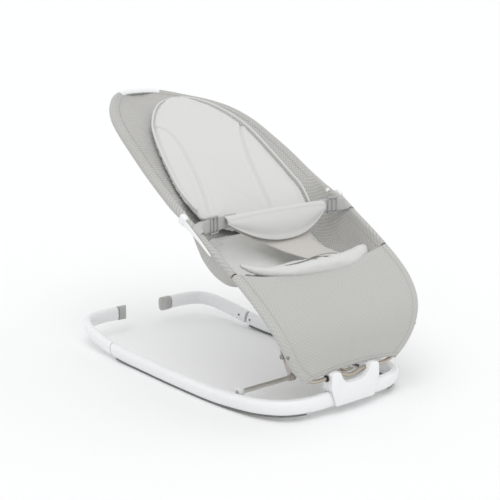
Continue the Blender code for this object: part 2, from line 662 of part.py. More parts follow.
# ---------------------------------------------------------------- sling panels
def sling_rows(centre, edge, rows, across, sag_power, inset):
    """Rows of points from the left edge to the right edge, hanging to the centre line."""
    mid = smooth_path(centre, rows)
    side = smooth_path(edge, rows)
    run = np.gradient(side, axis=0)
    slant = np.hypot(run[:, 0], run[:, 1]) / np.maximum(np.abs(run[:, 1]), 1e-6)
    slant = np.where(side[:, 1] > 0.16, np.minimum(slant, 2.2), 1.0)
    out = []
    for m, e, more in zip(mid, side, slant):
        row = []
        for u in np.sin(np.linspace(-math.pi / 2, math.pi / 2, across)):
            w = abs(u) ** sag_power
            row.append((u * (e[0] - inset * more), m[0] * (1 - w) + e[1] * w, m[1] * (1 - w) + e[2] * w))
        out.append(row)
    return out


lower = np.array(wire_half)
calf_edge = [p for p in lower if p[2] >= 0.0860 and p[2] <= 0.2640 and p[0] > 0.1]
calf = sling_rows(CALF_CENTRE, calf_edge, 22, 13, 2.2, WIRE_RADIUS + SLEEVE_OUT + EDGE_INSET + 0.0022)
sheet("calf_panel", calf, CLOTH_THICK, "knit_lower")

pocket_edge = [p for p in lower if 0.2685 <= p[2] <= 0.3120]
pocket_edge = pocket_edge + [np.array((0.1800, -0.0980, 0.3230)), np.array((0.1740, -0.0760, 0.3270))]
pocket_rows = sling_rows(POCKET_CENTRE, pocket_edge, 14, 17, 9.0, WIRE_RADIUS + SLEEVE_OUT + EDGE_INSET)
sheet("seat_pocket", pocket_rows, CLOTH_THICK, "mesh_upper")

upper = np.array(tube_half)[::-1]
back_edge = [p for p in upper if p[2] >= 0.3665 and p[0] >= 0.0640]
back_rows = sling_rows(BACK_CENTRE, back_edge, 22, 15, 2.4, TUBE_RADIUS + SLEEVE_OUT + EDGE_INSET)
sheet("back_sling", back_rows, CLOTH_THICK, "mesh_upper")

# white cover along the top rail, a trough over the tube
top_run = np.array([p for p in mirrored(tube_half) if abs(p[0]) < 0.0560])
inner_r, outer_r = TUBE_RADIUS + SLEEVE_GAP, TUBE_RADIUS + 0.0034
trough = []
for angle in np.linspace(math.radians(-70.0), math.radians(165.0), 11):
    trough.append((outer_r * math.cos(angle), outer_r * math.sin(angle)))
for angle in np.linspace(math.radians(165.0), math.radians(-70.0), 11):
    trough.append((inner_r * math.cos(angle), inner_r * math.sin(angle)))
tangent = np.gradient(top_run, axis=0)
tangent /= np.linalg.norm(tangent, axis=1)[:, None]
trough_rings = []
for p, t in zip(top_run, tangent):
    back = np.cross([0.0, 0.0, 1.0], t)
    back /= np.linalg.norm(back)
    over = np.cross(t, back)
    trough_rings.append([p + back * a + over * b for a, b in trough])
loft("head_rail_cover", trough_rings, "white_cover")


# ---------------------------------------------------------------- padded liner
BACK_PAD_OUTLINE = [
    (-0.0500, 0.1480),
    (0.0000, 0.1480),
    (0.0500, 0.1410),
    (0.1000, 0.1310),
    (0.1550, 0.1180),
    (0.2000, 0.1060),
    (0.2400, 0.0900),
    (0.2700, 0.0700),
    (0.2880, 0.0480),
    (0.2970, 0.0280),
]
SEAT_PAD_OUTLINE = [
    (-0.0700, 0.1200),
    (-0.1000, 0.1260),
    (-0.1400, 0.1300),
    (-0.1880, 0.1300),
]


def pad_rows(outline, centre, edge, rows, across, sag_power, inset, lift):
    """Rows of points a little above the sling, as wide as the outline asks."""
    edge_line = np.array(sorted([tuple(p) for p in edge], key=lambda p: p[1]))
    centre_line = np.array(sorted(centre))
    out = []
    for y, half in smooth_path(outline, rows):
        low = np.interp(y, centre_line[:, 0], centre_line[:, 1])
        high = np.interp(y, edge_line[:, 1], edge_line[:, 2])
        span = np.interp(y, edge_line[:, 1], edge_line[:, 0]) - inset
        row = []
        for u in np.linspace(-1.0, 1.0, across):
            w = (abs(u) * half / span) ** sag_power
            row.append((u * half, y - lift * 0.5, low * (1 - w) + high * w + lift * 0.87))
        out.append(row)
    return out


back_pad = pad_rows(BACK_PAD_OUTLINE, BACK_CENTRE, back_edge, 18, 13, 2.4, 0.011, 0.0150)
sheet("liner_back", back_pad, PAD_THICK * 1.3, "liner_fabric")
seat_pad = pad_rows(SEAT_PAD_OUTLINE, POCKET_CENTRE, pocket_edge, 12, 13, 9.0, 0.009, 0.0120)
sheet("liner_seat", seat_pad, PAD_THICK, "liner_fabric")

lip_path = smooth_path([(-0.152, -0.2010, 0.2800), (-0.110, -0.2070, 0.2660), (-0.055, -0.2095, 0.2600),
                        (0.0, -0.2100, 0.2585), (0.055, -0.2095, 0.2600), (0.110, -0.2070, 0.2660),
                        (0.152, -0.2010, 0.2800)], 17)
lip_rings = []
for p in lip_path:
    swell = 1.0 - 0.55 * (abs(p[0]) / 0.152) ** 6
    lip_rings.append([(p[0], p[1] + 0.0150 * swell * math.cos(a), p[2] + 0.0135 * swell * math.sin(a))
                      for a in np.linspace(0.0, 2 * math.pi, 14, endpoint=False)])
loft("liner_lip", lip_rings, "liner_fabric")

# ---------------------------------------------------------------- lap belt
flap_rows = []
for v in np.linspace(0.0, 1.0, 6):
    row = []
    for u in np.linspace(-1.0, 1.0, 17):
        top = 0.3590 - 0.0090 * u ** 2
        bottom = 0.2900 + 0.0330 * abs(u) ** 2.2
        y = -0.1420 + 0.0300 * u ** 2 + 0.0080 * (1 - v) * (1 - u ** 2)
        row.append((u * FLAP_HALF_WIDTH, y, bottom + (top - bottom) * v))
    flap_rows.append(row)
sheet("belt_flap", flap_rows, FLAP_THICK, "belt_fabric")

crotch_rows = []
for v in np.linspace(0.0, 1.0, 6):
    half = 0.050 + 0.012 * v
    y = -0.1370 - 0.0490 * v
    z = 0.2800 - 0.0030 * v + 0.004 * math.sin(math.pi * v)
    crotch_rows.append([(u * half, y, z) for u in np.linspace(-1.0, 1.0, 7)])
sheet("crotch_strap", crotch_rows, 0.0035, "crotch_fabric")

for side_name, sign in SIDES:
    start = np.array((sign * (FLAP_HALF_WIDTH + 0.0008), -0.1118, 0.3368))
    end = np.array((sign * 0.1868, -0.1240, 0.3350))
    strap_rows = []
    for t in np.linspace(0.0, 1.0, 7):
        p = start * (1 - t) + end * t
        strap_rows.append([(p[0], p[1], p[2] - STRAP_HALF_WIDTH), (p[0], p[1], p[2] + STRAP_HALF_WIDTH)])
    sheet("belt_strap_" + side_name, strap_rows, STRAP_THICK, "webbing", smooth=False)
    place = start + (end - start) * ((ADJUSTER_X - abs(start[0])) / (abs(end[0]) - abs(start[0])))
    adjuster = box("adjuster_" + side_name, (-0.0075, -0.0032, -0.0160), (0.0075, 0.0032, 0.0160),
                   "buckle_grey", bevel=0.0012)
    window = box("window_" + side_name, (-0.02, -0.0015, -STRAP_HALF_WIDTH - WINDOW_GAP),
                 (0.02, 0.0015, STRAP_HALF_WIDTH + WINDOW_GAP), "buckle_grey", CUTTERS)
    along = math.atan2(end[1] - start[1], end[0] - start[0])
    for thing in (adjuster, window):
        thing.rotation_euler = (0.0, 0.0, along)
        thing.location = place
    cut(adjuster, window)


# ---------------------------------------------------------------- origins and parents
def set_origin(thing, origin):
    shift = Vector(origin)
    thing.data.transform(Matrix.Translation(-shift))
    thing.location = thing.location + shift


def hang(children, holder):
    for name in children:
        child = bpy.data.objects[name]
        child.parent = holder
        child.location = child.location - holder.location


set_origin(seat_wire, (0.0, HINGE_Y, HINGE_Z))
set_origin(back_tube, (0.0, HUB_Y, HUB_Z))
for side_name, sign in SIDES:
    set_origin(bpy.data.objects["travel_link_" + side_name], (sign * LINK_X, CROSSBAR_Y, CROSSBAR_Z))

both = ["left", "right"]
hang(["head_rail_cover", "back_sling", "liner_back"] + ["hub_arm_" + s for s in both]
     + ["back_sleeve_" + s for s in both], back_tube)
hang(["tail_loop", "link_pin", "calf_panel", "seat_pocket", "liner_seat", "liner_lip", "belt_flap",
      "crotch_strap", "back_tube"] + ["pin_cap_" + s for s in both] + ["lower_sleeve_" + s for s in both]
     + ["hub_base_" + s for s in both] + ["hub_pin_" + s for s in both]
     + ["belt_strap_" + s for s in both] + ["adjuster_" + s for s in both], seat_wire)

for thing in bpy.data.objects:
    if thing.parent is None:
        thing.location = thing.location - Vector((0.0, CENTRE_Y, FLOOR_Z))

for thing in CUTTERS.objects:
    thing.hide_render = True
    thing.display_type = "WIRE"
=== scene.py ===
import math

import bmesh
import bpy
import numpy as np
import mathutils.noise
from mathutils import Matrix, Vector


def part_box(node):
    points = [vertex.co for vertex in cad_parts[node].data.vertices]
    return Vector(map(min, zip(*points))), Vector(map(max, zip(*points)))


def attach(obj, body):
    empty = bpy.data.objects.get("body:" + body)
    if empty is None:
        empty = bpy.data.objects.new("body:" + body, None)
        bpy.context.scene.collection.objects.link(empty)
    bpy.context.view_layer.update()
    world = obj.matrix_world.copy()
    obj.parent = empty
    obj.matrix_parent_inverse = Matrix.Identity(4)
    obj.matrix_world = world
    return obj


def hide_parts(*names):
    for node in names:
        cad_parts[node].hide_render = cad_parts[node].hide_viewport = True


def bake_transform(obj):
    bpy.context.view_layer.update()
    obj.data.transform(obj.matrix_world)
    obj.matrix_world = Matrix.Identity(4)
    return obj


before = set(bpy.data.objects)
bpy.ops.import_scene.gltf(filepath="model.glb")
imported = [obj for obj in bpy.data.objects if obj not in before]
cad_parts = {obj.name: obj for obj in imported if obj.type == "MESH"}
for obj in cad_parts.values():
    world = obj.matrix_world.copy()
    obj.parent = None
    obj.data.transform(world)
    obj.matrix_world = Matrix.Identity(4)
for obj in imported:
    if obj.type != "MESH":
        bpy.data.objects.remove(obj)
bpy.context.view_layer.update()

scene = bpy.context.scene
scene.view_settings.view_transform = "Standard"

# ---------------------------------------------------------------- camera, light and floor
# A bouncer on a plain white studio floor. The camera stands low in front of the foot end, off to
# the left, and a broad soft lamp above gives the long pale shadow inside the hoop.
CAMERA_PLACE = Vector((-1.450, -1.775, 0.784))
CAMERA_LOOK = Vector((0.6263, 0.7464, -0.2250))
CAMERA_LENS = 82.8
CAMERA_SHIFT = -0.012
FLOOR_HALF = 60.0
SKY_COLOUR = (0.985, 0.99, 1.0, 1.0)
SKY_STRENGTH = 0.86
LAMP_STRENGTH = 0.95
LAMP_SPREAD = math.radians(55.0)
LAMP_FROM = Vector((-0.50, -0.55, 1.25))
FLOOR_COLOUR = (0.90, 0.90, 0.90, 1.0)

camera_data = bpy.data.cameras.new("camera")
camera_data.lens = CAMERA_LENS
camera_data.sensor_width = 36.0
camera_data.shift_y = CAMERA_SHIFT
camera = bpy.data.objects.new("camera", camera_data)
camera.location = CAMERA_PLACE
camera.rotation_euler = CAMERA_LOOK.to_track_quat("-Z", "Y").to_euler()
scene.collection.objects.link(camera)
scene.camera = camera

lamp_data = bpy.data.lights.new("overhead", "SUN")
lamp_data.energy = LAMP_STRENGTH
lamp_data.angle = LAMP_SPREAD
lamp = bpy.data.objects.new("overhead", lamp_data)
lamp.rotation_euler = LAMP_FROM.to_track_quat("Z", "Y").to_euler()
scene.collection.objects.link(lamp)

sky = bpy.data.worlds.new("studio")
sky.use_nodes = True
sky.node_tree.nodes["Background"].inputs["Color"].default_value = SKY_COLOUR
sky.node_tree.nodes["Background"].inputs["Strength"].default_value = SKY_STRENGTH
scene.world = sky


class Value:
    """One output in a material. Arithmetic on it adds Math nodes, and node() adds any other."""

    def __init__(self, tree, socket=None):
        self.tree = tree
        self.socket = socket

    def node(self, kind, settings=None, sockets=None, output=0):
        made = self.tree.nodes.new("ShaderNode" + kind)
        for name, setting in (settings or {}).items():
            if name == "stops":
                for stop, (place, level) in zip(made.color_ramp.elements, setting):
                    stop.position = place
                    stop.color = (level, level, level, 1.0)
            else:
                setattr(made, name, setting)
        for name, source in (sockets or {}).items():
            if isinstance(source, Value):
                self.tree.links.new(source.socket, made.inputs[name])
            else:
                made.inputs[name].default_value = source
        return Value(self.tree, made.outputs[output])

    def math(self, operation, first, second=0.0):
        return self.node("Math", {"operation": operation}, {0: first, 1: second})

    def __add__(self, other):
        return self.math("ADD", self, other)

    __radd__ = __add__

    def __mul__(self, other):
        return self.math("MULTIPLY", self, other)

    __rmul__ = __mul__

    def __sub__(self, other):
        return self.math("SUBTRACT", self, other)

    def __rsub__(self, other):
        return self.math("SUBTRACT", other, self)

    def __pow__(self, other):
        return self.math("POWER", self, other)

    def wave(self):
        return self.math("COSINE", self)

    def between(self, low, high):
        """0 below low, 1 above high."""
        return self.node("Math", {"operation": "MULTIPLY_ADD", "use_clamp": True},
                         {0: self, 1: 1.0 / (high - low), 2: -low / (high - low)})

    def stretched(self, scale):
        return self.node("VectorMath", {"operation": "MULTIPLY"}, {0: self, 1: scale})

    def noise(self, scale, detail=2.0):
        return self.node("TexNoise", {}, {"Vector": self, "Scale": scale, "Detail": detail})

    def tint(self, first, second):
        """A colour that goes from the first to the second as this goes from 0 to 1."""
        return self.node("Mix", {"data_type": "RGBA"}, {0: self, 6: first, 7: second}, 2)

    def bump(self, height, strength, depth):
        return self.node("Bump", {}, {"Height": height, "Strength": strength, "Distance": depth})


def shade(colour, amount):
    """A colour made lighter or darker."""
    return tuple(min(1.0, part * amount) for part in colour[:3]) + (1.0,)


def finish(name, **constants):
    """A new material: the start of its nodes and its shader."""
    material = bpy.data.materials.new(name)
    material.use_nodes = True
    shader = material.node_tree.nodes["Principled BSDF"]
    for socket, value in constants.items():
        shader.inputs[socket.replace("_", " ")].default_value = value
    return material, Value(material.node_tree), shader


def connect(start, shader, colour, roughness, normal):
    for socket, source in (("Base Color", colour), ("Roughness", roughness), ("Normal", normal)):
        start.tree.links.new(source.socket, shader.inputs[socket])


floor_paint, start, shader = finish("floor_paint", Specular_IOR_Level=0.15)
place = start.node("TexCoord", output="Object")
connect(start, shader, place.noise(3.0).tint(FLOOR_COLOUR, shade(FLOOR_COLOUR, 1.01)),
        place.noise(40.0) * 0.05 + 0.85, start.bump(place.noise(300.0), 0.02, 0.001))
floor_mesh = bpy.data.meshes.new("floor")
work = bmesh.new()
bmesh.ops.create_grid(work, x_segments=1, y_segments=1, size=FLOOR_HALF)
work.to_mesh(floor_mesh)
work.free()
floor_mesh.materials.append(floor_paint)
floor = bpy.data.objects.new("floor", floor_mesh)
scene.collection.objects.link(floor)

# ---------------------------------------------------------------- base hoop and rear arms
# The base is a tall oval steel tube, bent into one open hoop and powder-coated gloss white. The two
# rear arms are separate tubes that push on to it over hidden spigots, each held by two small screws.
DRAWING_TO_FLOOR = np.array((0.0, -0.0066, -0.0004))
RAIL_HALF_THICK = 0.009
RAIL_HALF_HEIGHT = 0.015
RAIL_LEAN = math.radians(12.0)
RAIL_LEVEL = 0.0190
RAIL_SQUARENESS = 0.78
RAIL_SIDES = 32
ARRIS = 0.0007
JOINT_Y = 0.187
JOINT_GAP = 0.0003
ARM_TIP_X = 0.0722
RAIL_HALF_PLAN = [
    (0.000, -0.3330, 0.0310), (0.050, -0.3330, 0.0308), (0.100, -0.3285, 0.0298),
    (0.143, -0.3085, 0.0280), (0.168, -0.2650, 0.0248), (0.178, -0.2100, 0.0212),
    (0.184, -0.1500, 0.0190), (0.186, -0.0900, 0.0190), (0.186, 0.0000, 0.0190),
    (0.184, 0.0900, 0.0190), (0.184, 0.1400, 0.0200), (0.184, 0.1900, 0.0238),
    (0.182, 0.2500, 0.0320), (0.172, 0.3020, 0.0410), (0.150, 0.3300, 0.0455),
    (0.112, 0.3395, 0.0465), (0.072, 0.3400, 0.0460), (0.040, 0.3400, 0.0455)]
WHITE_ENAMEL = (0.84, 0.85, 0.855, 1.0)
SIDES = (("left", -1.0), ("right", 1.0))


def curve_through(points, count):
    """Even steps along a smooth line through the points."""
    points = np.array(points, dtype=float)
    ends = np.vstack([2 * points[0] - points[1], points, 2 * points[-1] - points[-2]])
    fine = []
    for i in range(1, len(ends) - 2):
        p0, p1, p2, p3 = ends[i - 1:i + 3]
        for t in np.linspace(0.0, 1.0, 24, endpoint=False):
            fine.append(0.5 * (2 * p1 + (p2 - p0) * t + (2 * p0 - 5 * p1 + 4 * p2 - p3) * t ** 2
                               + (3 * p1 - p0 - 3 * p2 + p3) * t ** 3))
    fine = np.array(fine + [points[-1]])
    run = np.concatenate([[0.0], np.cumsum(np.linalg.norm(np.diff(fine, axis=0), axis=1))])
    steps = np.linspace(0.0, run[-1], count)
    return np.column_stack([np.interp(steps, run, fine[:, k]) for k in range(points.shape[1])])


def both_halves(half):
    """A line drawn from the middle outward, made whole from left to right."""
    half = [tuple(p) for p in half]
    return np.array([(-p[0], p[1], p[2]) for p in reversed(half) if abs(p[0]) > 1e-9] + half)


def unit(vectors):
    vectors = np.asarray(vectors, dtype=float)
    return vectors / np.linalg.norm(vectors, axis=-1, keepdims=True)


def grid_piece(name, rows, material, ring=False, ends=False):
    """A mesh through rows of points, with its map in metres. ring joins each row's ends, ends caps it."""
    rows = np.asarray(rows, dtype=float) + DRAWING_TO_FLOOR
    count, wide = rows.shape[:2]
    closed = np.concatenate([rows, rows[:, :1]], axis=1) if ring else rows
    across = np.linalg.norm(np.diff(closed, axis=1), axis=2)
    across = np.concatenate([np.zeros((count, 1)), np.cumsum(across, axis=1)], axis=1)
    if not ring:
        across -= across[:, wide // 2][:, None]
    middle = rows.mean(axis=1) if ring else rows[:, wide // 2]
    along = np.concatenate([[0.0], np.cumsum(np.linalg.norm(np.diff(middle, axis=0), axis=1))])
    faces = []
    corners = []
    for i in range(count - 1):
        for j in range(wide if ring else wide - 1):
            k = (j + 1) % wide
            faces.append((i * wide + j, i * wide + k, (i + 1) * wide + k, (i + 1) * wide + j))
            corners += [(across[i, j], along[i]), (across[i, j + 1], along[i]),
                        (across[i + 1, j + 1], along[i + 1]), (across[i + 1, j], along[i + 1])]
    if ends:
        for i in (0, count - 1):
            faces.append(tuple(range(i * wide, (i + 1) * wide)))
            corners += [(across[i, j], along[i]) for j in range(wide)]
    mesh = bpy.data.meshes.new(name)
    mesh.from_pydata([tuple(p) for p in rows.reshape(-1, 3)], [], faces)
    chart = mesh.uv_layers.new(name="cut")
    chart.data.foreach_set("uv", np.array(corners, dtype=np.float32).ravel())
    mesh.materials.append(material)
    return mesh_piece(name, mesh)


def mesh_piece(name, mesh):
    """An object for a mesh, smooth, with its faces turned outward."""
    work = bmesh.new()
    work.from_mesh(mesh)
    bmesh.ops.recalc_face_normals(work, faces=work.faces)
    for face in work.faces:
        face.smooth = True
    work.to_mesh(mesh)
    work.free()
    made = bpy.data.objects.new(name, mesh)
    scene.collection.objects.link(made)
    return made


def apply_all(piece):
    """Makes the result of a piece's modifiers its own mesh."""
    graph = bpy.context.evaluated_depsgraph_get()
    graph.update()
    mesh = bpy.data.meshes.new_from_object(piece.evaluated_get(graph))
    piece.modifiers.clear()
    piece.data = mesh
    return piece


def crisp(piece, angle=40.0):
    """Keeps the edges sharp where two faces meet at more than this angle, in degrees."""
    piece.data.set_sharp_from_angle(angle=math.radians(angle))
    return piece


def stands_for(piece, body, slot, *nodes):
    """The piece's body, its finish's slot, which is not used, and the plain solids that it takes the place
    of.
    """
    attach(piece, body)
    if nodes:
        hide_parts(*nodes)
    return piece


def rail_rings(path, half_thick, half_height):
    """Rings of the oval tube along a path, with a small rounded arris at both ends."""
    lean = RAIL_LEAN * np.clip((np.abs(path[:, 0]) - 0.07) / 0.08, 0.0, 1.0)[:, None]
    tangent = unit(np.gradient(path, axis=0))
    side = unit(np.cross(tangent, (0.0, 0.0, 1.0)))
    up = np.cross(side, tangent)
    side, up = side * np.cos(lean) - up * np.sin(lean), up * np.cos(lean) + side * np.sin(lean)
    angles = np.linspace(0.0, 2 * math.pi, RAIL_SIDES, endpoint=False)
    a = np.sign(np.cos(angles)) * np.abs(np.cos(angles)) ** RAIL_SQUARENESS
    b = np.sign(np.sin(angles)) * np.abs(np.sin(angles)) ** RAIL_SQUARENESS

    def ring(i, less, onward):
        return (path[i] + tangent[i] * onward + side[i] * (a * (half_thick - less))[:, None]
                + up[i] * (b * (half_height - less))[:, None])

    last = len(path) - 1
    rings = [ring(0, ARRIS, 0.0), ring(0, ARRIS * 0.3, ARRIS * 0.3), ring(0, 0.0, ARRIS)]
    rings += [ring(i, 0.0, 0.0) for i in range(1, last)]
    return rings + [ring(last, 0.0, -ARRIS), ring(last, ARRIS * 0.3, -ARRIS * 0.3),
                    ring(last, ARRIS, 0.0)]


def enamel(name, colour, roughness, coat, grain):
    """Sprayed or moulded white: a faint orange-peel skin, cloudy gloss and fine handling marks."""
    material, start, shader = finish(name, Coat_Weight=coat, Coat_Roughness=0.12, IOR=1.48)
    place = start.node("TexCoord", output="Object")
    clouds = place.noise(14.0, 3.0)
    peel = place.noise(grain, 1.0)
    marks = place.stretched((1.0, 0.08, 1.0)).noise(620.0, 0.0).between(0.70, 0.78)
    height = place.node("SeparateXYZ", sockets={0: place}, output=2)
    # Darker and rougher in cloudy patches low on the tube, fading out 10 mm above the floor.
    near_floor_patches = (1.0 - height.between(0.002, 0.010)) * clouds.between(0.35, 0.7)
    near_floor_and_marks = near_floor_patches * 0.5 + marks * 0.06
    colours = (clouds * 0.6 + near_floor_and_marks * 1.6).tint(shade(colour, 1.01), shade(colour, 0.94))
    gloss = clouds * 0.10 + marks * 0.10 + near_floor_patches * 0.2 + (roughness - 0.05)
    connect(start, shader, colours, gloss, start.bump(peel + marks * -0.5, 0.10, 0.0003))
    return material


white_enamel = enamel("white_enamel", WHITE_ENAMEL, 0.24, 0.35, 520.0)
rail_line = curve_through(both_halves(RAIL_HALF_PLAN), 641)
rail_line[:, 2] = np.maximum(rail_line[:, 2], RAIL_LEVEL)

hoop_line = np.array([p for p in rail_line if p[1] <= JOINT_Y])
hoop_line = curve_through(hoop_line[::4], 300)
base_hoop = grid_piece("base_hoop_tube", rail_rings(hoop_line, RAIL_HALF_THICK, RAIL_HALF_HEIGHT),
                       white_enamel, ring=True, ends=True)
stands_for(crisp(base_hoop), "base", "white_shell", "base_hoop")

for side_name, sign in SIDES:
    arm_line = [p for p in rail_line if p[1] > JOINT_Y + JOINT_GAP and p[0] * sign > ARM_TIP_X]
    arm = grid_piece("rear_arm_tube_" + side_name,
                     rail_rings(curve_through(arm_line[::2], 120), RAIL_HALF_THICK, RAIL_HALF_HEIGHT),
                     white_enamel, ring=True, ends=True)
    stands_for(crisp(arm), "base", "white_shell", "rear_arm_" + side_name)

# ---------------------------------------------------------------- end caps, spigots and grip strips
# Grey polypropylene caps close the two rear tips, cut slantwise to the front. The same grey plastic
# makes the spigots in the joints. Ribbed grey rubber strips are glued in under both side rails.
CAP_GREY = (0.44, 0.44, 0.425, 1.0)
RUBBER_GREY = (0.20, 0.20, 0.195, 1.0)
SMALL_ARRIS = 0.0004


def moulded(name, colour, roughness, grain=900.0, depth=0.00012):
    """Spark-eroded moulded plastic: a fine even grain with paler rubbed patches."""
    material, start, shader = finish(name, IOR=1.46)
    place = start.node("TexCoord", output="Object")
    grit = place.noise(grain, 2.0)
    flow = place.noise(35.0, 3.0)
    colours = (flow * 0.7 + grit * 0.3).tint(shade(colour, 0.88), shade(colour, 1.12))
    connect(start, shader, colours, flow * 0.14 + (roughness - 0.07), start.bump(grit, 0.35, depth))
    return material


def refined(node, name, material, bevel=SMALL_ARRIS):
    """A finer copy of a small solid: its loose triangles joined, its edges softened."""
    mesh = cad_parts[node].data.copy()
    mesh.materials.clear()
    mesh.materials.append(material)
    work = bmesh.new()
    work.from_mesh(mesh)
    bmesh.ops.remove_doubles(work, verts=work.verts, dist=1e-6)
    bmesh.ops.dissolve_limit(work, angle_limit=math.radians(0.5), verts=work.verts, edges=work.edges)
    work.to_mesh(mesh)
    work.free()
    mesh.name = name
    made = bpy.data.objects.new(name, mesh)
    scene.collection.objects.link(made)
    for polygon in mesh.polygons:
        polygon.use_smooth = True
    crisp(made)
    if bevel > 0.0:
        soften = made.modifiers.new("arris", "BEVEL")
        soften.width = bevel
        soften.segments = 2
        soften.limit_method = "ANGLE"
        soften.angle_limit = math.radians(40.0)
        soften.harden_normals = True
        apply_all(made)
    return made


cap_grey = moulded("cap_grey", CAP_GREY, 0.48)
for side_name, sign in SIDES:
    for part in ("end_cap_", "joint_spigot_"):
        node = part + side_name
        stands_for(refined(node, node + "_moulding", cap_grey), "base", "grey_cap", node)

rubber, start, shader = finish("ribbed_rubber", IOR=1.52)
place = start.node("TexCoord", output="Object")
along = place.node("SeparateXYZ", sockets={0: place}, output=1)
rib = (along * (2 * math.pi / 0.003)).wave() * 0.5 + 0.5
dust = place.noise(120.0, 4.0)
connect(start, shader, (dust * 0.8 + rib * 0.2).tint(shade(RUBBER_GREY, 0.7), shade(RUBBER_GREY, 1.3)),
        dust * 0.15 + 0.72, start.bump(rib + dust * 0.3, 0.6, 0.0006))
for side_name, sign in SIDES:
    node = "grip_strip_" + side_name
    stands_for(refined(node, node + "_rubber", rubber, 0.0003), "base", "grip_rubber", node)

# ---------------------------------------------------------------- screws
# Small zinc-plated cross-head screws: two at each arm joint, through the rail's inner wall, and two
# that clamp the halves of the front bracket together from behind.
SCREW_ZINC = (0.42, 0.42, 0.43, 1.0)
JOINT_HEAD_RADIUS = 0.0024
BRACKET_HEAD_RADIUS = 0.0036
HEAD_HEIGHT = 0.0012
RECESS_DEPTH = 0.0007


def metal(name, colour, roughness, stretch=(1.0, 1.0, 1.0), streak=400.0, mapped=False):
    """Plated or drawn metal: fine streaks along its length and a cloudy, slightly worn shine."""
    material, start, shader = finish(name, Metallic=1.0)
    place = start.node("UVMap") if mapped else start.node("TexCoord", output="Object")
    lines = place.stretched(stretch).noise(streak, 2.0)
    clouds = place.noise(30.0, 3.0)
    colours = (lines * 0.4 + clouds * 0.6).tint(shade(colour, 0.86), shade(colour, 1.12))
    connect(start, shader, colours, lines * 0.10 + clouds * 0.14 + (roughness - 0.12),
            start.bump(lines, 0.12, 0.0001))
    return material


def node_group(name, sizes):
    """A new geometry tree with a mesh in, named sizes in, and a mesh out."""
    tree = bpy.data.node_groups.new(name, "GeometryNodeTree")
    tree.interface.new_socket("Path", in_out="INPUT", socket_type="NodeSocketGeometry")
    for label in sizes:
        tree.interface.new_socket(label, in_out="INPUT", socket_type="NodeSocketFloat")
    tree.interface.new_socket("Finish", in_out="INPUT", socket_type="NodeSocketMaterial")
    tree.interface.new_socket("Mesh", in_out="OUTPUT", socket_type="NodeSocketGeometry")
    return tree, tree.nodes.new("NodeGroupInput"), tree.nodes.new("NodeGroupOutput")


def add(tree, kind, settings=None, sockets=None):
    """A node in a geometry tree, its settings first and then what goes into its sockets."""
    made = tree.nodes.new(kind)
    for name, setting in (settings or {}).items():
        setattr(made, name, setting)
    for name, source in (sockets or {}).items():
        if isinstance(source, bpy.types.NodeSocket):
            tree.links.new(source, made.inputs[name])
        else:
            made.inputs[name].default_value = source
    return made


def grown(name, tree, mesh, material, sizes):
    """Runs a tree on a mesh and keeps the result as a plain mesh."""
    made = bpy.data.objects.new(name, mesh)
    scene.collection.objects.link(made)
    step = made.modifiers.new("grow", "NODES")
    step.node_group = tree
    for item in tree.interface.items_tree:
        if item.item_type == "SOCKET" and item.in_out == "INPUT" and item.name in sizes:
            step[item.identifier] = sizes[item.name]
        elif item.item_type == "SOCKET" and item.name == "Finish":
            step[item.identifier] = material
    apply_all(made)
    for polygon in made.data.polygons:
        polygon.use_smooth = True
    return crisp(made, 50.0)


screw_tree, given, result = node_group("screw_heads", ("Head radius", "Head height", "Recess"))
disc = add(screw_tree, "GeometryNodeMeshCylinder", {}, {
    "Vertices": 24, "Side Segments": 1, "Fill Segments": 1,
    "Radius": given.outputs["Head radius"], "Depth": given.outputs["Head height"]})
arm_length = add(screw_tree, "ShaderNodeMath", {"operation": "MULTIPLY"},
                 {0: given.outputs["Head radius"], 1: 1.15})
arm_width = add(screw_tree, "ShaderNodeMath", {"operation": "MULTIPLY"},
                {0: given.outputs["Head radius"], 1: 0.26})
cutters = [disc.outputs["Mesh"]]
for long_side, short_side in ((0, 1), (1, 0)):
    pair = (arm_length.outputs[0], arm_width.outputs[0])
    size = add(screw_tree, "ShaderNodeCombineXYZ", {},
               {long_side: pair[0], short_side: pair[1], 2: given.outputs["Recess"]})
    bar = add(screw_tree, "GeometryNodeMeshCube", {}, {"Size": size.outputs[0]})
    half_height = add(screw_tree, "ShaderNodeMath", {"operation": "MULTIPLY"},
                      {0: given.outputs["Head height"], 1: 0.5})
    lift = add(screw_tree, "ShaderNodeCombineXYZ", {}, {2: half_height.outputs[0]})
    moved = add(screw_tree, "GeometryNodeTransform", {},
                {"Geometry": bar.outputs["Mesh"], "Translation": lift.outputs[0]})
    sunk = add(screw_tree, "GeometryNodeMeshBoolean", {"operation": "DIFFERENCE"},
               {"Mesh 1": cutters[-1]})
    screw_tree.links.new(moved.outputs["Geometry"], sunk.inputs["Mesh 2"])
    cutters.append(sunk.outputs["Mesh"])
facing = add(screw_tree, "FunctionNodeAlignRotationToVector", {"axis": "Z"},
             {"Vector": add(screw_tree, "GeometryNodeInputNormal").outputs[0]})
heads = add(screw_tree, "GeometryNodeInstanceOnPoints", {}, {
    "Points": given.outputs["Path"], "Instance": cutters[-1], "Rotation": facing.outputs[0]})
real = add(screw_tree, "GeometryNodeRealizeInstances", {}, {"Geometry": heads.outputs[0]})
painted = add(screw_tree, "GeometryNodeSetMaterial", {}, {
    "Geometry": real.outputs[0], "Material": given.outputs["Finish"]})
screw_tree.links.new(painted.outputs[0], result.inputs[0])


def head_spots(name, spots):
    """Points where the heads sit, each with a tiny triangle that gives its outward direction."""
    work = bmesh.new()
    for spot, facing_way in spots:
        normal = Vector(facing_way)
        first = normal.orthogonal().normalized()
        second = normal.cross(first)
        corner = work.verts.new(Vector(spot))
        work.faces.new([corner, work.verts.new(Vector(spot) + first * 1e-6),
                        work.verts.new(Vector(spot) + second * 1e-6)])
    mesh = bpy.data.meshes.new(name)
    work.to_mesh(mesh)
    work.free()
    return mesh


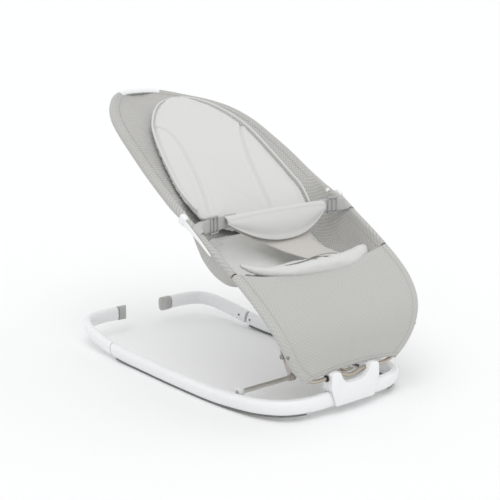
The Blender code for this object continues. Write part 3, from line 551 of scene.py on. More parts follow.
screw_zinc = metal("screw_zinc", SCREW_ZINC, 0.34)
joint_nodes = ["joint_screw_" + side_name + "_" + end for side_name, sign in SIDES
               for end in ("front", "rear")]
joint_spots = []
for node in joint_nodes:
    low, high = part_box(node)
    inward = 1.0 if low[0] < 0 else -1.0
    face = (high[0] if inward > 0 else low[0]) - inward * HEAD_HEIGHT / 2
    joint_spots.append(((face, (low[1] + high[1]) / 2, (low[2] + high[2]) / 2), (inward, 0.0, 0.0)))
bracket_nodes = ["bracket_screw_" + side_name for side_name, sign in SIDES]
bracket_spots = []
for node in bracket_nodes:
    low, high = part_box(node)
    bracket_spots.append((((low[0] + high[0]) / 2, high[1] - HEAD_HEIGHT / 2, (low[2] + high[2]) / 2),
                          (0.0, 1.0, 0.0)))
for name, spots, radius, nodes in (("joint_screw_heads", joint_spots, JOINT_HEAD_RADIUS, joint_nodes),
                                   ("bracket_screw_heads", bracket_spots, BRACKET_HEAD_RADIUS,
                                    bracket_nodes)):
    heads = grown(name, screw_tree, head_spots(name, spots), screw_zinc,
                  {"Head radius": radius, "Head height": HEAD_HEIGHT, "Recess": RECESS_DEPTH})
    stands_for(heads, "base", "screw_metal", *nodes)

# ---------------------------------------------------------------- front bracket
# Two moulded white covers clamp round the middle of the hoop. Two prongs stand up from them and hold
# the seat wire, which goes in through dark nylon bushes; a plain blank panel fills the front.
COVER_WHITE = (0.84, 0.845, 0.85, 1.0)
BUSH_BLACK = (0.035, 0.032, 0.03, 1.0)

cover_white = enamel("cover_white", COVER_WHITE, 0.34, 0.12, 900.0)
bush_black = moulded("bush_black", BUSH_BLACK, 0.5)
for half in ("front", "rear"):
    node = "bracket_" + half + "_shell"
    stands_for(refined(node, node + "_moulding", cover_white, 0.0), "base", "white_cover", node)
for side_name, sign in SIDES:
    node = "wire_grommet_" + side_name
    stands_for(refined(node, node + "_bush", bush_black), "base", "dark_insert", node)

# ---------------------------------------------------------------- crossbar, washers and links
# A satin steel bar joins the side rails in white sockets. Two pressed links swing on it between thin
# washers, and their slots limit how far the seat can bounce.
BAR_STEEL = (0.66, 0.64, 0.60, 1.0)
LINK_STEEL = (0.66, 0.60, 0.585, 1.0)

bar_steel = metal("bar_steel", BAR_STEEL, 0.42, (0.05, 1.0, 1.0), 700.0)
link_steel = metal("link_steel", LINK_STEEL, 0.36, (1.0, 0.3, 0.3), 500.0)
stands_for(refined("crossbar", "crossbar_rod", bar_steel, 0.0), "base", "bar_metal", "crossbar")
for side_name, sign in SIDES:
    node = "crossbar_socket_" + side_name
    stands_for(refined(node, node + "_cup", cover_white), "base", "white_cover", node)
    for end in ("inner", "outer"):
        node = "link_washer_" + side_name + "_" + end
        stands_for(refined(node, node + "_disc", bar_steel, 0.0003), "base", "bar_metal", node)
    node = "travel_link_" + side_name
    stands_for(refined(node, node + "_pressing", link_steel, 0.0003), side_name + "_link",
               "link_metal", node)

# ---------------------------------------------------------------- seat wire and tail loop
# One champagne-plated spring steel wire runs from hip to hip, through a dip between the prongs. A
# thinner loop is welded behind it, and its cross pin rides in the slots of the links.
WIRE_RADIUS = 0.004
TAIL_RADIUS = 0.0028
CHAMPAGNE = (0.50, 0.45, 0.385, 1.0)
WIRE_HALF = [
    (0.000, -0.3330, 0.0660), (0.010, -0.3330, 0.0680), (0.022, -0.3330, 0.0720),
    (0.032, -0.3330, 0.0725), (0.050, -0.3330, 0.0725), (0.070, -0.3330, 0.0725),
    (0.088, -0.3330, 0.0730), (0.106, -0.3335, 0.0775), (0.122, -0.3345, 0.0880),
    (0.140, -0.3355, 0.1045), (0.157, -0.3365, 0.1300), (0.171, -0.3320, 0.1600),
    (0.181, -0.3180, 0.1880), (0.188, -0.2900, 0.2190), (0.191, -0.2560, 0.2450),
    (0.1925, -0.2210, 0.2680), (0.1940, -0.1800, 0.2930), (0.1945, -0.1380, 0.3170),
    (0.1940, -0.0985, 0.3400)]
TAIL_HALF = [
    (0.0, -0.3255, 0.0745), (0.0080, -0.3250, 0.0745), (0.0135, -0.3180, 0.0745),
    (0.0165, -0.2950, 0.0740), (0.0210, -0.2300, 0.0712), (0.0215, -0.1868, 0.0690)]


def rod_rings(path, radius, sides=16):
    """Rings of a round rod along a path, carried along without twist, with rounded ends."""
    tangent = unit(np.gradient(path, axis=0))
    side = unit(np.cross(tangent[0], (0.3, 0.5, 0.8)))
    angles = np.linspace(0.0, 2 * math.pi, sides, endpoint=False)[:, None]
    rings = []
    last = len(path) - 1
    for i, (p, t) in enumerate(zip(path, tangent)):
        side = unit(side - t * np.dot(side, t))
        up = np.cross(t, side)
        turn = side * np.cos(angles) + up * np.sin(angles)
        if i == 0:
            rings += [p + turn * radius * 0.6, p + turn * radius * 0.9 + t * radius * 0.12]
        elif i == last:
            rings += [p + turn * radius * 0.9 - t * radius * 0.12, p + turn * radius * 0.6]
        else:
            rings.append(p + turn * radius)
    return rings


champagne = metal("champagne_plate", CHAMPAGNE, 0.24, (1.0, 0.03, 1.0), 600.0, mapped=True)
wire_half = curve_through(WIRE_HALF, 160)
seat_wire = grid_piece("seat_wire_rod", rod_rings(both_halves(wire_half), WIRE_RADIUS), champagne,
                       ring=True, ends=True)
stands_for(crisp(seat_wire), "seat", "wire_metal", "seat_wire")
tail_line = curve_through(both_halves(TAIL_HALF), 90)
tail_loop = grid_piece("tail_loop_rod", rod_rings(tail_line, TAIL_RADIUS, 12), champagne, ring=True,
                       ends=True)
stands_for(crisp(tail_loop), "seat", "wire_metal", "tail_loop")
pin_steel = metal("pin_steel", CHAMPAGNE, 0.28, (0.05, 1.0, 1.0), 600.0)
stands_for(refined("link_pin", "link_pin_rod", pin_steel, 0.0003), "seat", "wire_metal", "link_pin")
for side_name, sign in SIDES:
    node = "pin_cap_" + side_name
    stands_for(refined(node, node + "_push_nut", screw_zinc, 0.0), "seat", "screw_metal", node)

# ---------------------------------------------------------------- hubs and back tube
# White moulded tabs at the hips join the seat wire to the back tube, and a riveted pin lets the back
# tilt. A slim white cover strip runs down the outside of the fabric from each hub.
TUBE_RADIUS = 0.006
TUBE_GREY = (0.58, 0.58, 0.59, 1.0)
TUBE_HALF = [
    (0.0000, 0.3515, 0.5372), (0.0200, 0.3505, 0.5370), (0.0450, 0.3440, 0.5350),
    (0.0700, 0.3260, 0.5300), (0.0960, 0.2950, 0.5230), (0.1250, 0.2540, 0.5140),
    (0.1500, 0.2080, 0.5000), (0.1670, 0.1550, 0.4770), (0.1770, 0.0940, 0.4435),
    (0.1830, 0.0470, 0.4165), (0.1860, -0.0020, 0.3870), (0.1890, -0.0480, 0.3620),
    (0.1893, -0.0725, 0.3521)]

tube_steel = metal("tube_steel", TUBE_GREY, 0.36, (1.0, 0.03, 1.0), 500.0, mapped=True)
tube_half = curve_through(TUBE_HALF, 130)
back_tube = grid_piece("back_tube_rod", rod_rings(both_halves(tube_half), TUBE_RADIUS), tube_steel,
                       ring=True, ends=True)
stands_for(crisp(back_tube), "backrest", "tube_metal", "back_tube")
HUB_AT = np.array((0.0, -0.086, 0.347))
TAB_HALF = (0.0088, 0.0100)
TAB_FROM, TAB_TO = 0.1953, 0.2056
TAB_TURN = math.radians(-31.0)
STRIP_LINE = [(0.2028, -0.0880, 0.3450), (0.2030, -0.1030, 0.3375), (0.2030, -0.1220, 0.3262),
              (0.2030, -0.1420, 0.3140), (0.2028, -0.1590, 0.3020), (0.2022, -0.1700, 0.2935)]
STRIP_HALF_DEPTHS = [(0.0, 0.0062), (0.25, 0.0048), (0.6, 0.0034), (0.9, 0.0026), (1.0, 0.0014)]
STRIP_HALF_THICK = 0.0013
COLLAR_WALL = 0.0009


def squared_ring(centre, first, second, half_first, half_second, power=0.45, sides=28):
    """A ring shaped as a rounded rectangle, in the plane of two directions."""
    angles = np.linspace(0.0, 2 * math.pi, sides, endpoint=False)
    a = np.sign(np.cos(angles)) * np.abs(np.cos(angles)) ** power * half_first
    b = np.sign(np.sin(angles)) * np.abs(np.sin(angles)) ** power * half_second
    return centre + np.outer(a, first) + np.outer(b, second)


for side_name, sign in SIDES:
    along = np.array((0.0, math.cos(TAB_TURN), -math.sin(TAB_TURN)))
    over = np.array((0.0, math.sin(TAB_TURN), math.cos(TAB_TURN)))
    tab_rings = []
    for depth, less in ((0.0, 0.0012), (0.04, 0.0003), (0.12, 0.0), (0.72, 0.0), (0.86, 0.0006),
                        (0.95, 0.0018), (1.0, 0.0036)):
        middle = HUB_AT + np.array((sign * (TAB_FROM + (TAB_TO - TAB_FROM) * depth), 0.0, 0.0))
        tab_rings.append(squared_ring(middle, along, over, TAB_HALF[0] - less, TAB_HALF[1] - less))
    tab = grid_piece("hub_tab_" + side_name, tab_rings, cover_white, ring=True, ends=True)
    stands_for(crisp(tab, 60.0), "seat", "white_cover", "hub_base_" + side_name, "hub_pin_" + side_name)

    strip_line = curve_through(STRIP_LINE, 40)
    strip_depth = np.interp(np.linspace(0.0, 1.0, 40), *np.array(STRIP_HALF_DEPTHS).T)
    strip_rings = []
    for p, t, half in zip(strip_line, unit(np.gradient(strip_line, axis=0)), strip_depth):
        outward = np.array((1.0, 0.0, 0.0))
        across = unit(np.cross(t, outward))
        ring = squared_ring(p, outward, across, STRIP_HALF_THICK, half, 0.7, 20)
        strip_rings.append(ring * np.array((sign, 1.0, 1.0)))
    strip = grid_piece("hub_strip_" + side_name, strip_rings, cover_white, ring=True, ends=True)
    stands_for(crisp(strip, 60.0), "seat", "white_cover")
    collar_line = tube_half[-14:] * np.array((sign, 1.0, 1.0))
    collar = grid_piece("hub_collar_" + side_name, rod_rings(collar_line, TUBE_RADIUS + COLLAR_WALL, 20),
                        cover_white, ring=True, ends=True)
    stands_for(crisp(collar, 60.0), "backrest", "white_cover", "hub_arm_" + side_name)

# ---------------------------------------------------------------- calf panel
# The front of the seat is one panel of pale grey spacer knit. Channels sewn along its sides slide over
# the seat wire, a double hem closes its lower edge, and a seam joins it to the mesh above.
KNIT_PALE = (0.505, 0.505, 0.478, 1.0)
CLOTH_THICK = 0.0016
CHANNEL_ROOM = 0.0012
HEM_REACH = 0.010
HEM_ROWS = 4
HEM_COLUMNS = 33
HEM_STEP = 0.0012
RIVET_RADIUS = 0.0030
RIVET_HEIGHT = 0.0014
RIVET_LEVEL = 0.135
KNIT_ACROSS = 0.0088
KNIT_ALONG = 0.0060
CALF_MIDDLE = [
    (-0.3335, 0.0860), (-0.3370, 0.1150), (-0.3370, 0.1450), (-0.3290, 0.1720),
    (-0.3090, 0.1980), (-0.2780, 0.2220), (-0.2260, 0.2435)]


def knit(name, colour, across, along, contrast, depth, sheen=0.25, fine=0.0011, mapped=True):
    """Knitted cloth: staggered loops in rows, a finer thread texture, and soft uneven dye."""
    material, start, shader = finish(name, Sheen_Weight=sheen, Sheen_Roughness=0.45,
                                     Specular_IOR_Level=0.25)
    body = start.node("TexCoord", output="Object")
    chart = start.node("UVMap") if mapped else body
    u = chart.node("SeparateXYZ", sockets={0: chart}, output=0)
    v = chart.node("SeparateXYZ", sockets={0: chart}, output=1)
    drift = body.noise(60.0, 2.0)
    loops = ((u * (2 * math.pi / across) + drift).wave()
             * (v * (2 * math.pi / along) + drift * 1.5).wave()) * 0.5 + 0.5
    threads = ((u * (2 * math.pi / fine)).wave() * (v * (2 * math.pi / (fine * 1.3))).wave()) * 0.5 + 0.5
    fuzz = body.noise(1400.0, 2.0)
    dye = body.noise(9.0, 3.0)
    tone = (loops ** 1.5) * 0.62 + threads * 0.12 + fuzz * 0.10 + dye * 0.16
    colours = tone.tint(shade(colour, 1.0 - contrast), shade(colour, 1.0 + contrast * 0.62))
    connect(start, shader, colours, fuzz * 0.12 + 0.80,
            start.bump(loops * 0.8 + threads * 0.2 + fuzz * 0.15, 0.55, depth))
    return material


def hanging_rows(edge, middle, powers, rod_radius, across):
    """Rows of cloth from the left rod to the right one: a channel round each and a hanging middle."""
    reach = rod_radius + CHANNEL_ROOM + CLOTH_THICK / 2
    tangent = unit(np.gradient(edge, axis=0))
    rows = []
    seams = []
    for e, t, m, power in zip(edge, tangent, middle, powers):
        out = unit(np.cross((1.0, 0.0, 0.0), t))
        inward = unit(np.array((-1.0, 0.0, 0.0)) + t * t[0])
        fall = float(np.dot(e - np.array((e[0], m[0], m[1])), out))
        slope = np.clip(math.atan2(power * fall, e[0]), math.radians(4.0), math.radians(78.0))
        leave = math.pi / 2 - slope
        normal = inward * math.cos(leave) + out * math.sin(leave)
        onward = inward * math.sin(leave) - out * math.cos(leave)
        start = e + normal * reach
        half = []
        for u in np.sin(np.linspace(0.0, math.pi / 2, across)):
            w = u ** power
            half.append((u * start[0], m[0] * (1 - w) + start[1] * w, m[1] * (1 - w) + start[2] * w))
        for angle in np.linspace(leave, leave + math.radians(278.0), 17)[1:]:
            half.append(tuple(e + (inward * math.cos(angle) + out * math.sin(angle)) * reach))
        half.append(tuple(start + onward * HEM_REACH * 0.75 - normal * CLOTH_THICK * 1.35))
        rows.append([(-x, y, z) for x, y, z in reversed(half[1:])] + half)
        seams.append(start + onward * HEM_REACH + normal * CLOTH_THICK * 0.6)
    return np.array(rows), np.array(seams)


def cloth_piece(name, rows, material, thick=CLOTH_THICK):
    """A sheet through rows of points, given its thickness and then kept as a plain mesh."""
    made = grid_piece(name, rows, material)
    wall = made.modifiers.new("thickness", "SOLIDIFY")
    wall.thickness = thick
    wall.offset = 0.0
    return apply_all(made)


stitch_tree, given, result = node_group("stitch_row", ("Stitch length", "Stitch pitch",
                                                       "Thread radius"))
row_curve = add(stitch_tree, "GeometryNodeMeshToCurve", {}, {"Mesh": given.outputs["Path"]})
stops = add(stitch_tree, "GeometryNodeCurveToPoints", {"mode": "LENGTH"},
            {"Curve": row_curve.outputs[0], "Length": given.outputs["Stitch pitch"]})
thread = add(stitch_tree, "GeometryNodeMeshCylinder", {}, {
    "Vertices": 6, "Side Segments": 1, "Fill Segments": 1,
    "Radius": given.outputs["Thread radius"], "Depth": given.outputs["Stitch length"]})
laid = add(stitch_tree, "GeometryNodeInstanceOnPoints", {}, {
    "Points": stops.outputs["Points"], "Instance": thread.outputs["Mesh"],
    "Rotation": stops.outputs["Rotation"]})
real = add(stitch_tree, "GeometryNodeRealizeInstances", {}, {"Geometry": laid.outputs[0]})
painted = add(stitch_tree, "GeometryNodeSetMaterial", {}, {
    "Geometry": real.outputs[0], "Material": given.outputs["Finish"]})
stitch_tree.links.new(painted.outputs[0], result.inputs[0])


def stitched(name, paths, material, length=0.0024, pitch=0.0034, radius=0.00032):
    """Rows of stitches, one along each path."""
    points, edges = [], []
    for path in paths:
        first = len(points)
        points += [tuple(np.array(p) + DRAWING_TO_FLOOR) for p in path]
        edges += [(i, i + 1) for i in range(first, len(points) - 1)]
    mesh = bpy.data.meshes.new(name)
    mesh.from_pydata(points, edges, [])
    return grown(name, stitch_tree, mesh, material,
                 {"Stitch length": length, "Stitch pitch": pitch, "Thread radius": radius})


def on_front(rows, row, across, lift, towards):
    """A path along one row of a sheet, lifted off its face on the side that is looked at."""
    rows = np.array(rows)
    middle = rows.shape[1] // 2
    columns = range(middle - across, middle + across + 1)
    path = []
    for c in columns:
        normal = unit(np.cross(rows[row, c + 1] - rows[row, c - 1], rows[row + 1, c] - rows[row, c]))
        path.append(rows[row, c] + normal * lift * (1.0 if np.dot(normal, towards) > 0 else -1.0))
    return path


knit_pale = knit("spacer_knit_pale", KNIT_PALE, KNIT_ACROSS, KNIT_ALONG, 0.16, 0.0009)
calf_edge = np.array([p for p in wire_half if 0.0800 <= p[2] <= 0.2660 and p[0] > 0.1])
calf_edge = curve_through(calf_edge[::3], 84)
calf_rows, calf_seam = hanging_rows(calf_edge, curve_through(CALF_MIDDLE, 84), np.full(84, 2.2),
                                    WIRE_RADIUS, 34)
hem_middle = calf_rows.shape[1] // 2
calf_rows[:HEM_ROWS, hem_middle - HEM_COLUMNS:hem_middle + HEM_COLUMNS + 1, 1] -= HEM_STEP
calf_cover = cloth_piece("calf_cover", calf_rows, knit_pale)
stands_for(calf_cover, "seat", "knit_lower", "calf_panel", "lower_sleeve_left", "lower_sleeve_right")
calf_thread = moulded("calf_thread", shade(KNIT_PALE, 0.80), 0.85, 500.0)
towards_foot = np.array((0.0, -1.0, 0.35))
mirror = np.array((-1.0, 1.0, 1.0))
calf_stitches = stitched(
    "calf_stitches",
    [on_front(calf_rows, 1, 32, CLOTH_THICK * 0.62, towards_foot),
     on_front(calf_rows, HEM_ROWS - 1, 32, CLOTH_THICK * 0.62, towards_foot), calf_seam, calf_seam * mirror],
    calf_thread)
stands_for(calf_stitches, "seat", "knit_lower")
rivet_spots = []
for side_name, sign in SIDES:
    spot = min(wire_half, key=lambda p: abs(p[2] - RIVET_LEVEL) + (1.0 if p[0] < 0.1 else 0.0))
    way = unit(np.array((0.72, -0.69, 0.0)))
    spot = (spot + way * (WIRE_RADIUS + CHANNEL_ROOM + CLOTH_THICK + RIVET_HEIGHT * 0.3)) * (sign, 1, 1)
    rivet_spots.append((tuple(spot + DRAWING_TO_FLOOR), tuple(way * (sign, 1, 1))))
rivets = grown("calf_rivets", screw_tree, head_spots("calf_rivets", rivet_spots), bar_steel,
               {"Head radius": RIVET_RADIUS, "Head height": RIVET_HEIGHT, "Recess": 0.0003})
stands_for(rivets, "seat", "screw_metal")

# ---------------------------------------------------------------- mesh cover of the seat and back
# One long piece of grey open mesh makes the seat pocket, the side walls and the back. It hangs in a
# deep trough from channels over the seat wire and the back tube, and crosses the hips unbroken.
MESH_GREY = (0.512, 0.506, 0.482, 1.0)
MESH_ACROSS = 0.0092
MESH_ALONG = 0.0062
COVER_STEPS = 150
POCKET_POWER = 12.0
BACK_POWER = 2.4
POCKET_END = -0.100
POCKET_EASE = 0.070
COVER_MIDDLE = [
    (-0.2220, 0.2442), (-0.1950, 0.2330), (-0.1600, 0.2220), (-0.1200, 0.2330),
    (-0.0880, 0.2600), (-0.0600, 0.2960), (0.0000, 0.3460), (0.0500, 0.3860), (0.1000, 0.4220),
    (0.1600, 0.4590), (0.2100, 0.4830), (0.2600, 0.5020), (0.3000, 0.5145), (0.3300, 0.5240),
    (0.3465, 0.5318)]



def trough_power(y):
    """How square the trough hangs: steep-walled under the seat, shallow up the back."""
    change = np.clip((y - POCKET_END) / POCKET_EASE, 0.0, 1.0)
    return POCKET_POWER + (BACK_POWER - POCKET_POWER) * change


mesh_grey = knit("open_mesh_grey", MESH_GREY, MESH_ACROSS, MESH_ALONG, 0.30, 0.0012)
low_edge = np.array([p for p in wire_half if p[2] >= 0.2640 and p[1] > -0.23])
high_edge = np.array([p for p in tube_half[::-1] if p[1] >= -0.0560 and p[0] >= 0.030])
cover_edge = curve_through(np.vstack([low_edge[::5], high_edge[::5]]), COVER_STEPS)
cover_middle = curve_through(COVER_MIDDLE, COVER_STEPS)
cover_powers = trough_power(cover_middle[:, 0])
rod_change = np.clip((cover_edge[:, 1] + 0.090) / 0.04, 0.0, 1.0)
cover_rows = []
cover_seam = []
for rod_radius in (WIRE_RADIUS, TUBE_RADIUS):
    rows, seam = hanging_rows(cover_edge, cover_middle, cover_powers, rod_radius, 40)
    cover_rows.append(rows)
    cover_seam.append(seam)
cover_rows = (cover_rows[0] * (1 - rod_change)[:, None, None] + cover_rows[1] * rod_change[:, None, None])
cover_seam = cover_seam[0] * (1 - rod_change)[:, None] + cover_seam[1] * rod_change[:, None]
mesh_cover = cloth_piece("mesh_cover", cover_rows, mesh_grey)
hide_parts("seat_pocket", "back_sling", "back_sleeve_left", "back_sleeve_right")
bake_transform(mesh_cover)
cover_thread = moulded("cover_thread", shade(MESH_GREY, 0.80), 0.85, 500.0)
cover_stitches = stitched("cover_stitches", [cover_seam, cover_seam * mirror], cover_thread)
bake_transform(cover_stitches)

# ---------------------------------------------------------------- head rail cover
# A folded white band is wrapped over the head rail and stitched down behind it; it holds the top of
# the mesh and is the lightest part of the seat.
BAND_OUT = 0.0034
BAND_IN = 0.0012
BAND_WHITE = (0.86, 0.865, 0.875, 1.0)

band_line = np.array([p for p in both_halves(tube_half) if abs(p[0]) < 0.056])
band_tangent = unit(np.gradient(band_line, axis=0))
band_rows = []
for p, t in zip(band_line, band_tangent):
    back = unit(np.cross((0.0, 0.0, 1.0), t))
    over = np.cross(t, back)
    outer = [(TUBE_RADIUS + BAND_OUT, a) for a in np.linspace(math.radians(-78.0), math.radians(172.0), 26)]
    inner = [(TUBE_RADIUS + BAND_IN, a) for a in np.linspace(math.radians(172.0), math.radians(-78.0), 26)]
    band_rows.append([p + (back * math.cos(a) + over * math.sin(a)) * r for r, a in outer + inner])
band_white = knit("band_white", BAND_WHITE, 0.0016, 0.0012, 0.05, 0.0003)
head_band = grid_piece("head_band", band_rows, band_white, ring=True, ends=True)
stands_for(crisp(head_band, 50.0), "backrest", "white_cover", "head_rail_cover")

# ---------------------------------------------------------------- liner for the back
# The liner is a soft jersey pad, lightly filled, shaped like a long leaf. Two curved seams sew its
# centre to its side panels, and a thin piping runs round its edge.
LINER_GREY = (0.650, 0.652, 0.630, 1.0)
LINER_THICK = 0.019
PIPING_RADIUS = 0.0022
MESH_CLEARANCE = 0.0040
LINER_LIFT = 0.0080
LINER_TOP = 0.2860
LINER_FOOT = -0.066
LINER_HALF_WIDTHS = [
    (-0.0660, 0.1400), (-0.0300, 0.1480), (0.0000, 0.1465), (0.0500, 0.1385), (0.0900, 0.1310),
    (0.1300, 0.1220), (0.1700, 0.1080), (0.2100, 0.0870), (0.2400, 0.0670), (0.2620, 0.0480),
    (0.2780, 0.0270), (0.2860, 0.0)]
LINER_SHIFTS = [(-0.066, -0.010), (0.000, -0.008), (0.070, 0.000), (0.130, 0.010), (0.170, 0.016),
                (0.210, 0.025), (0.250, 0.034), (0.286, 0.042)]
SEAM_LINES = {"left": [(-0.066, -0.120), (0.002, -0.091), (0.052, -0.078), (0.098, -0.068), (0.140, -0.070),
                       (0.168, -0.088)],
              "right": [(-0.066, 0.040), (-0.010, 0.055), (0.034, 0.067), (0.072, 0.082), (0.110, 0.103),
                        (0.146, 0.130)]}
SEAM_DEPTH, SEAM_WIDTH = 0.0046, 0.0034
WELT_HEIGHT, WELT_PLACE, WELT_WIDTH = 0.0013, 0.0085, 0.0045
RIM_DEPTH, RIM_PLACE, RIM_WIDTH = 0.0018, 0.010, 0.0028
SEAM_TOPS = {"left": 0.1680, "right": 0.1460}


def at_depth(table, y):
    table = np.array(table)
    return np.interp(y, table[:, 0], table[:, 1])


back_high = curve_through([p for p in cover_edge[::4]], 200)
middle_line = curve_through(COVER_MIDDLE, 200)


def trough_height(x, y, power):
    """Height of the mesh cover under a point of the seat."""
    low = np.interp(y, middle_line[:, 0], middle_line[:, 1])
    high = np.interp(y, back_high[:, 1], back_high[:, 2])
    half = np.interp(y, back_high[:, 1], back_high[:, 0]) - 0.009
    w = np.clip(np.abs(x) / half, 0.0, 1.0) ** power
    return low * (1 - w) + high * w


def leaf_solid(name, ys, half_widths, shifts, height, thick, lift, material, across=33):
    """A closed pad over the mesh: rounded at its edges and resting on its underside."""
    rows = []
    for y, half, shift in zip(ys, half_widths, shifts):
        u = np.sin(np.linspace(-math.pi / 2, math.pi / 2, across))
        x = u * max(half, 0.0015) + shift
        rise = np.sqrt(np.clip(1.0 - np.abs(u) ** 6, 0.0, 1.0))
        base = height(x, np.full_like(x, y))
        top = np.column_stack([x, y - (lift + thick * rise) * 0.5, base + (lift + thick * rise) * 0.87])
        low = np.column_stack([x, np.full_like(x, y - lift * 0.5), base + lift * 0.87])
        rows.append(np.vstack([top, low[::-1]]))
    return grid_piece(name, rows, material, ring=True, ends=True)


def puffed(piece, voxel, pressure, most, held=None):
    """Fills a pad with air: an even mesh, a short cloth run with no point moved far, one subdivision."""
    even = piece.modifiers.new("even", "REMESH")
    even.mode = "VOXEL"
    even.voxel_size = voxel
    even.use_smooth_shade = True
    apply_all(piece)
    count = len(piece.data.vertices)
    flat = np.empty(count * 3, np.float32)
    piece.data.vertices.foreach_get("co", flat)
    flat = flat.reshape(-1, 3)
    if held is not None:
        group = piece.vertex_groups.new(name="held")
        for i, weight in enumerate(held(flat)):
            group.add([i], float(weight), "REPLACE")
    cloth = piece.modifiers.new("air", "CLOTH")
    cloth.settings.quality = 5
    cloth.settings.mass = 0.2
    cloth.settings.use_pressure = True
    cloth.settings.uniform_pressure_force = pressure
    cloth.settings.effector_weights.gravity = 0.0
    cloth.collision_settings.use_collision = False
    if held is not None:
        cloth.settings.vertex_group_mass = "held"
    for step in range(1, 21):
        scene.frame_set(step)
    apply_all(piece)
    scene.frame_set(1)
    swollen = np.empty(count * 3, np.float32)
    piece.data.vertices.foreach_get("co", swollen)
    move = swollen.reshape(-1, 3) - flat
    length = np.linalg.norm(move, axis=1, keepdims=True)
    move *= np.minimum(1.0, most / np.maximum(length, 1e-9))
    piece.data.vertices.foreach_set("co", (flat + move).ravel())
    piece.data.update()
    piece.vertex_groups.clear()
    finer = piece.modifiers.new("finer", "SUBSURF")
    finer.levels = 1
    finer.render_levels = 1
    return apply_all(piece)


def reshaped(piece, change):
    """Moves each point of a piece by what change gives for its place in the drawing."""
    count = len(piece.data.vertices)
    places = np.empty(count * 3, np.float32)
    piece.data.vertices.foreach_get("co", places)
    places = places.reshape(-1, 3).astype(float)
    normals = np.empty(count * 3, np.float32)
    piece.data.vertices.foreach_get("normal", normals)
    normals = normals.reshape(-1, 3)
    moved = places + change(places - DRAWING_TO_FLOOR, normals)
    piece.data.vertices.foreach_set("co", moved.astype(np.float32).ravel())
    piece.data.update()
    return piece


def clear_of_mesh(spots, normals):
    """Lifts what has sunk through the mesh cover until it lies just above it."""
    x, y, z = spots.T
    lowest = trough_height(x, y, trough_power(y)) + MESH_CLEARANCE
    return np.column_stack([np.zeros_like(x), np.zeros_like(x), np.maximum(0.0, lowest - z)])


def jersey(name, colour, contrast=0.05, depth=0.0002):
    """Soft brushed jersey: very fine courses, a hazy sheen and faint creases."""
    return knit(name, colour, 0.0019, 0.0015, contrast, depth, sheen=0.35, fine=0.0008, mapped=False)


liner_jersey = jersey("liner_jersey", LINER_GREY)
leaf_y = LINER_FOOT + (LINER_TOP - LINER_FOOT) * np.sin(np.linspace(0.0, math.pi / 2, 70))
leaf_outline = curve_through(LINER_HALF_WIDTHS, 260)
leaf_half = np.interp(leaf_y, leaf_outline[:, 0], leaf_outline[:, 1])


def back_height(x, y):
    return trough_height(x, y, BACK_POWER)


seam_curves = {side_name: curve_through(SEAM_LINES[side_name], 80) for side_name, sign in SIDES}
leaf_shift = at_depth(LINER_SHIFTS, leaf_y)


def back_seam_gap(x, y):
    """How far a point of the back liner is from the nearer seam, across the pad."""
    gaps = [np.abs(x - at_depth(seam_curves[side_name], y)) + np.where(y > SEAM_TOPS[side_name], 1.0, 0.0)
            for side_name, sign in SIDES]
    return np.minimum(*gaps)


def back_rim_gap(x, y):
    """How far a point of the back liner is in from its edge, across the pad."""
    return np.interp(y, leaf_outline[:, 0], leaf_outline[:, 1]) - np.abs(x - at_depth(LINER_SHIFTS, y))


def back_held(places):
    spots = places - DRAWING_TO_FLOOR
    rim = back_rim_gap(spots[:, 0], spots[:, 1])
    near_seam = np.exp(-(back_seam_gap(spots[:, 0], spots[:, 1]) / 0.006) ** 2)
    return np.clip(np.maximum(near_seam, np.exp(-(np.clip(rim, 0, 1) / 0.008) ** 2)), 0.0, 1.0)


def sew_back(spots, normals):
    """Sinks the two seams, each with a raised lip beside it, and the row inside the piping."""
    gap = back_seam_gap(spots[:, 0], spots[:, 1])
    upper = np.clip(normals[:, 2] * 2.0, 0.0, 1.0)
    groove = (SEAM_DEPTH * np.exp(-(gap / SEAM_WIDTH) ** 2)
              - WELT_HEIGHT * np.exp(-((gap - WELT_PLACE) / WELT_WIDTH) ** 2))
    rim_gap = back_rim_gap(spots[:, 0], spots[:, 1])
    rim = RIM_DEPTH * np.exp(-((rim_gap - RIM_PLACE) / RIM_WIDTH) ** 2)
    return -normals * ((groove + rim) * upper)[:, None]


def binding(name, path, radius, material, body, slot, sides=10):
    """A thin corded edge along a path."""
    cord_line = curve_through(path, max(12, int(len(path) * 1.5)))
    made = grid_piece(name, rod_rings(cord_line, radius, sides), material, ring=True, ends=True)
    return stands_for(made, body, slot) if body else made


liner_back = leaf_solid("liner_back_pad", leaf_y, leaf_half, leaf_shift, back_height, LINER_THICK,
                        LINER_LIFT, liner_jersey)
puffed(liner_back, 0.0040, 4.0, 0.006, back_held)
reshaped(liner_back, sew_back)
reshaped(liner_back, clear_of_mesh)
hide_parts("liner_back")
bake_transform(liner_back)
piping_path = []
for sign, order in ((1.0, slice(None)), (-1.0, slice(None, None, -1))):
    for y, half, shift in zip(leaf_y[order], leaf_half[order], leaf_shift[order]):
        x = sign * (half + PIPING_RADIUS * 0.4) + shift
        rise = LINER_LIFT + LINER_THICK * 0.62
        piping_path.append((x, y - rise * 0.5, float(back_height(x, y)) + rise * 0.87))
liner_piping = binding("liner_piping", piping_path[::2], PIPING_RADIUS, liner_jersey, None, None)
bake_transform(liner_piping)

# ---------------------------------------------------------------- liner for the seat and its front lip
# The lower liner lines the trough of the seat and rises to its front. Its front edge is a stuffed roll
# over the seam of the mesh, thin on the left and fat on the right, with small gathers along its back.
SEAT_FRONT = -0.200
SEAT_BACK = -0.064
SEAT_POWER = 9.0
RAMP_FROM, RAMP_LENGTH, RAMP_HEIGHT = -0.150, 0.045, 0.015
SEAT_HALF = [(-0.200, 0.152), (-0.140, 0.148), (-0.100, 0.140), (-0.064, 0.132)]


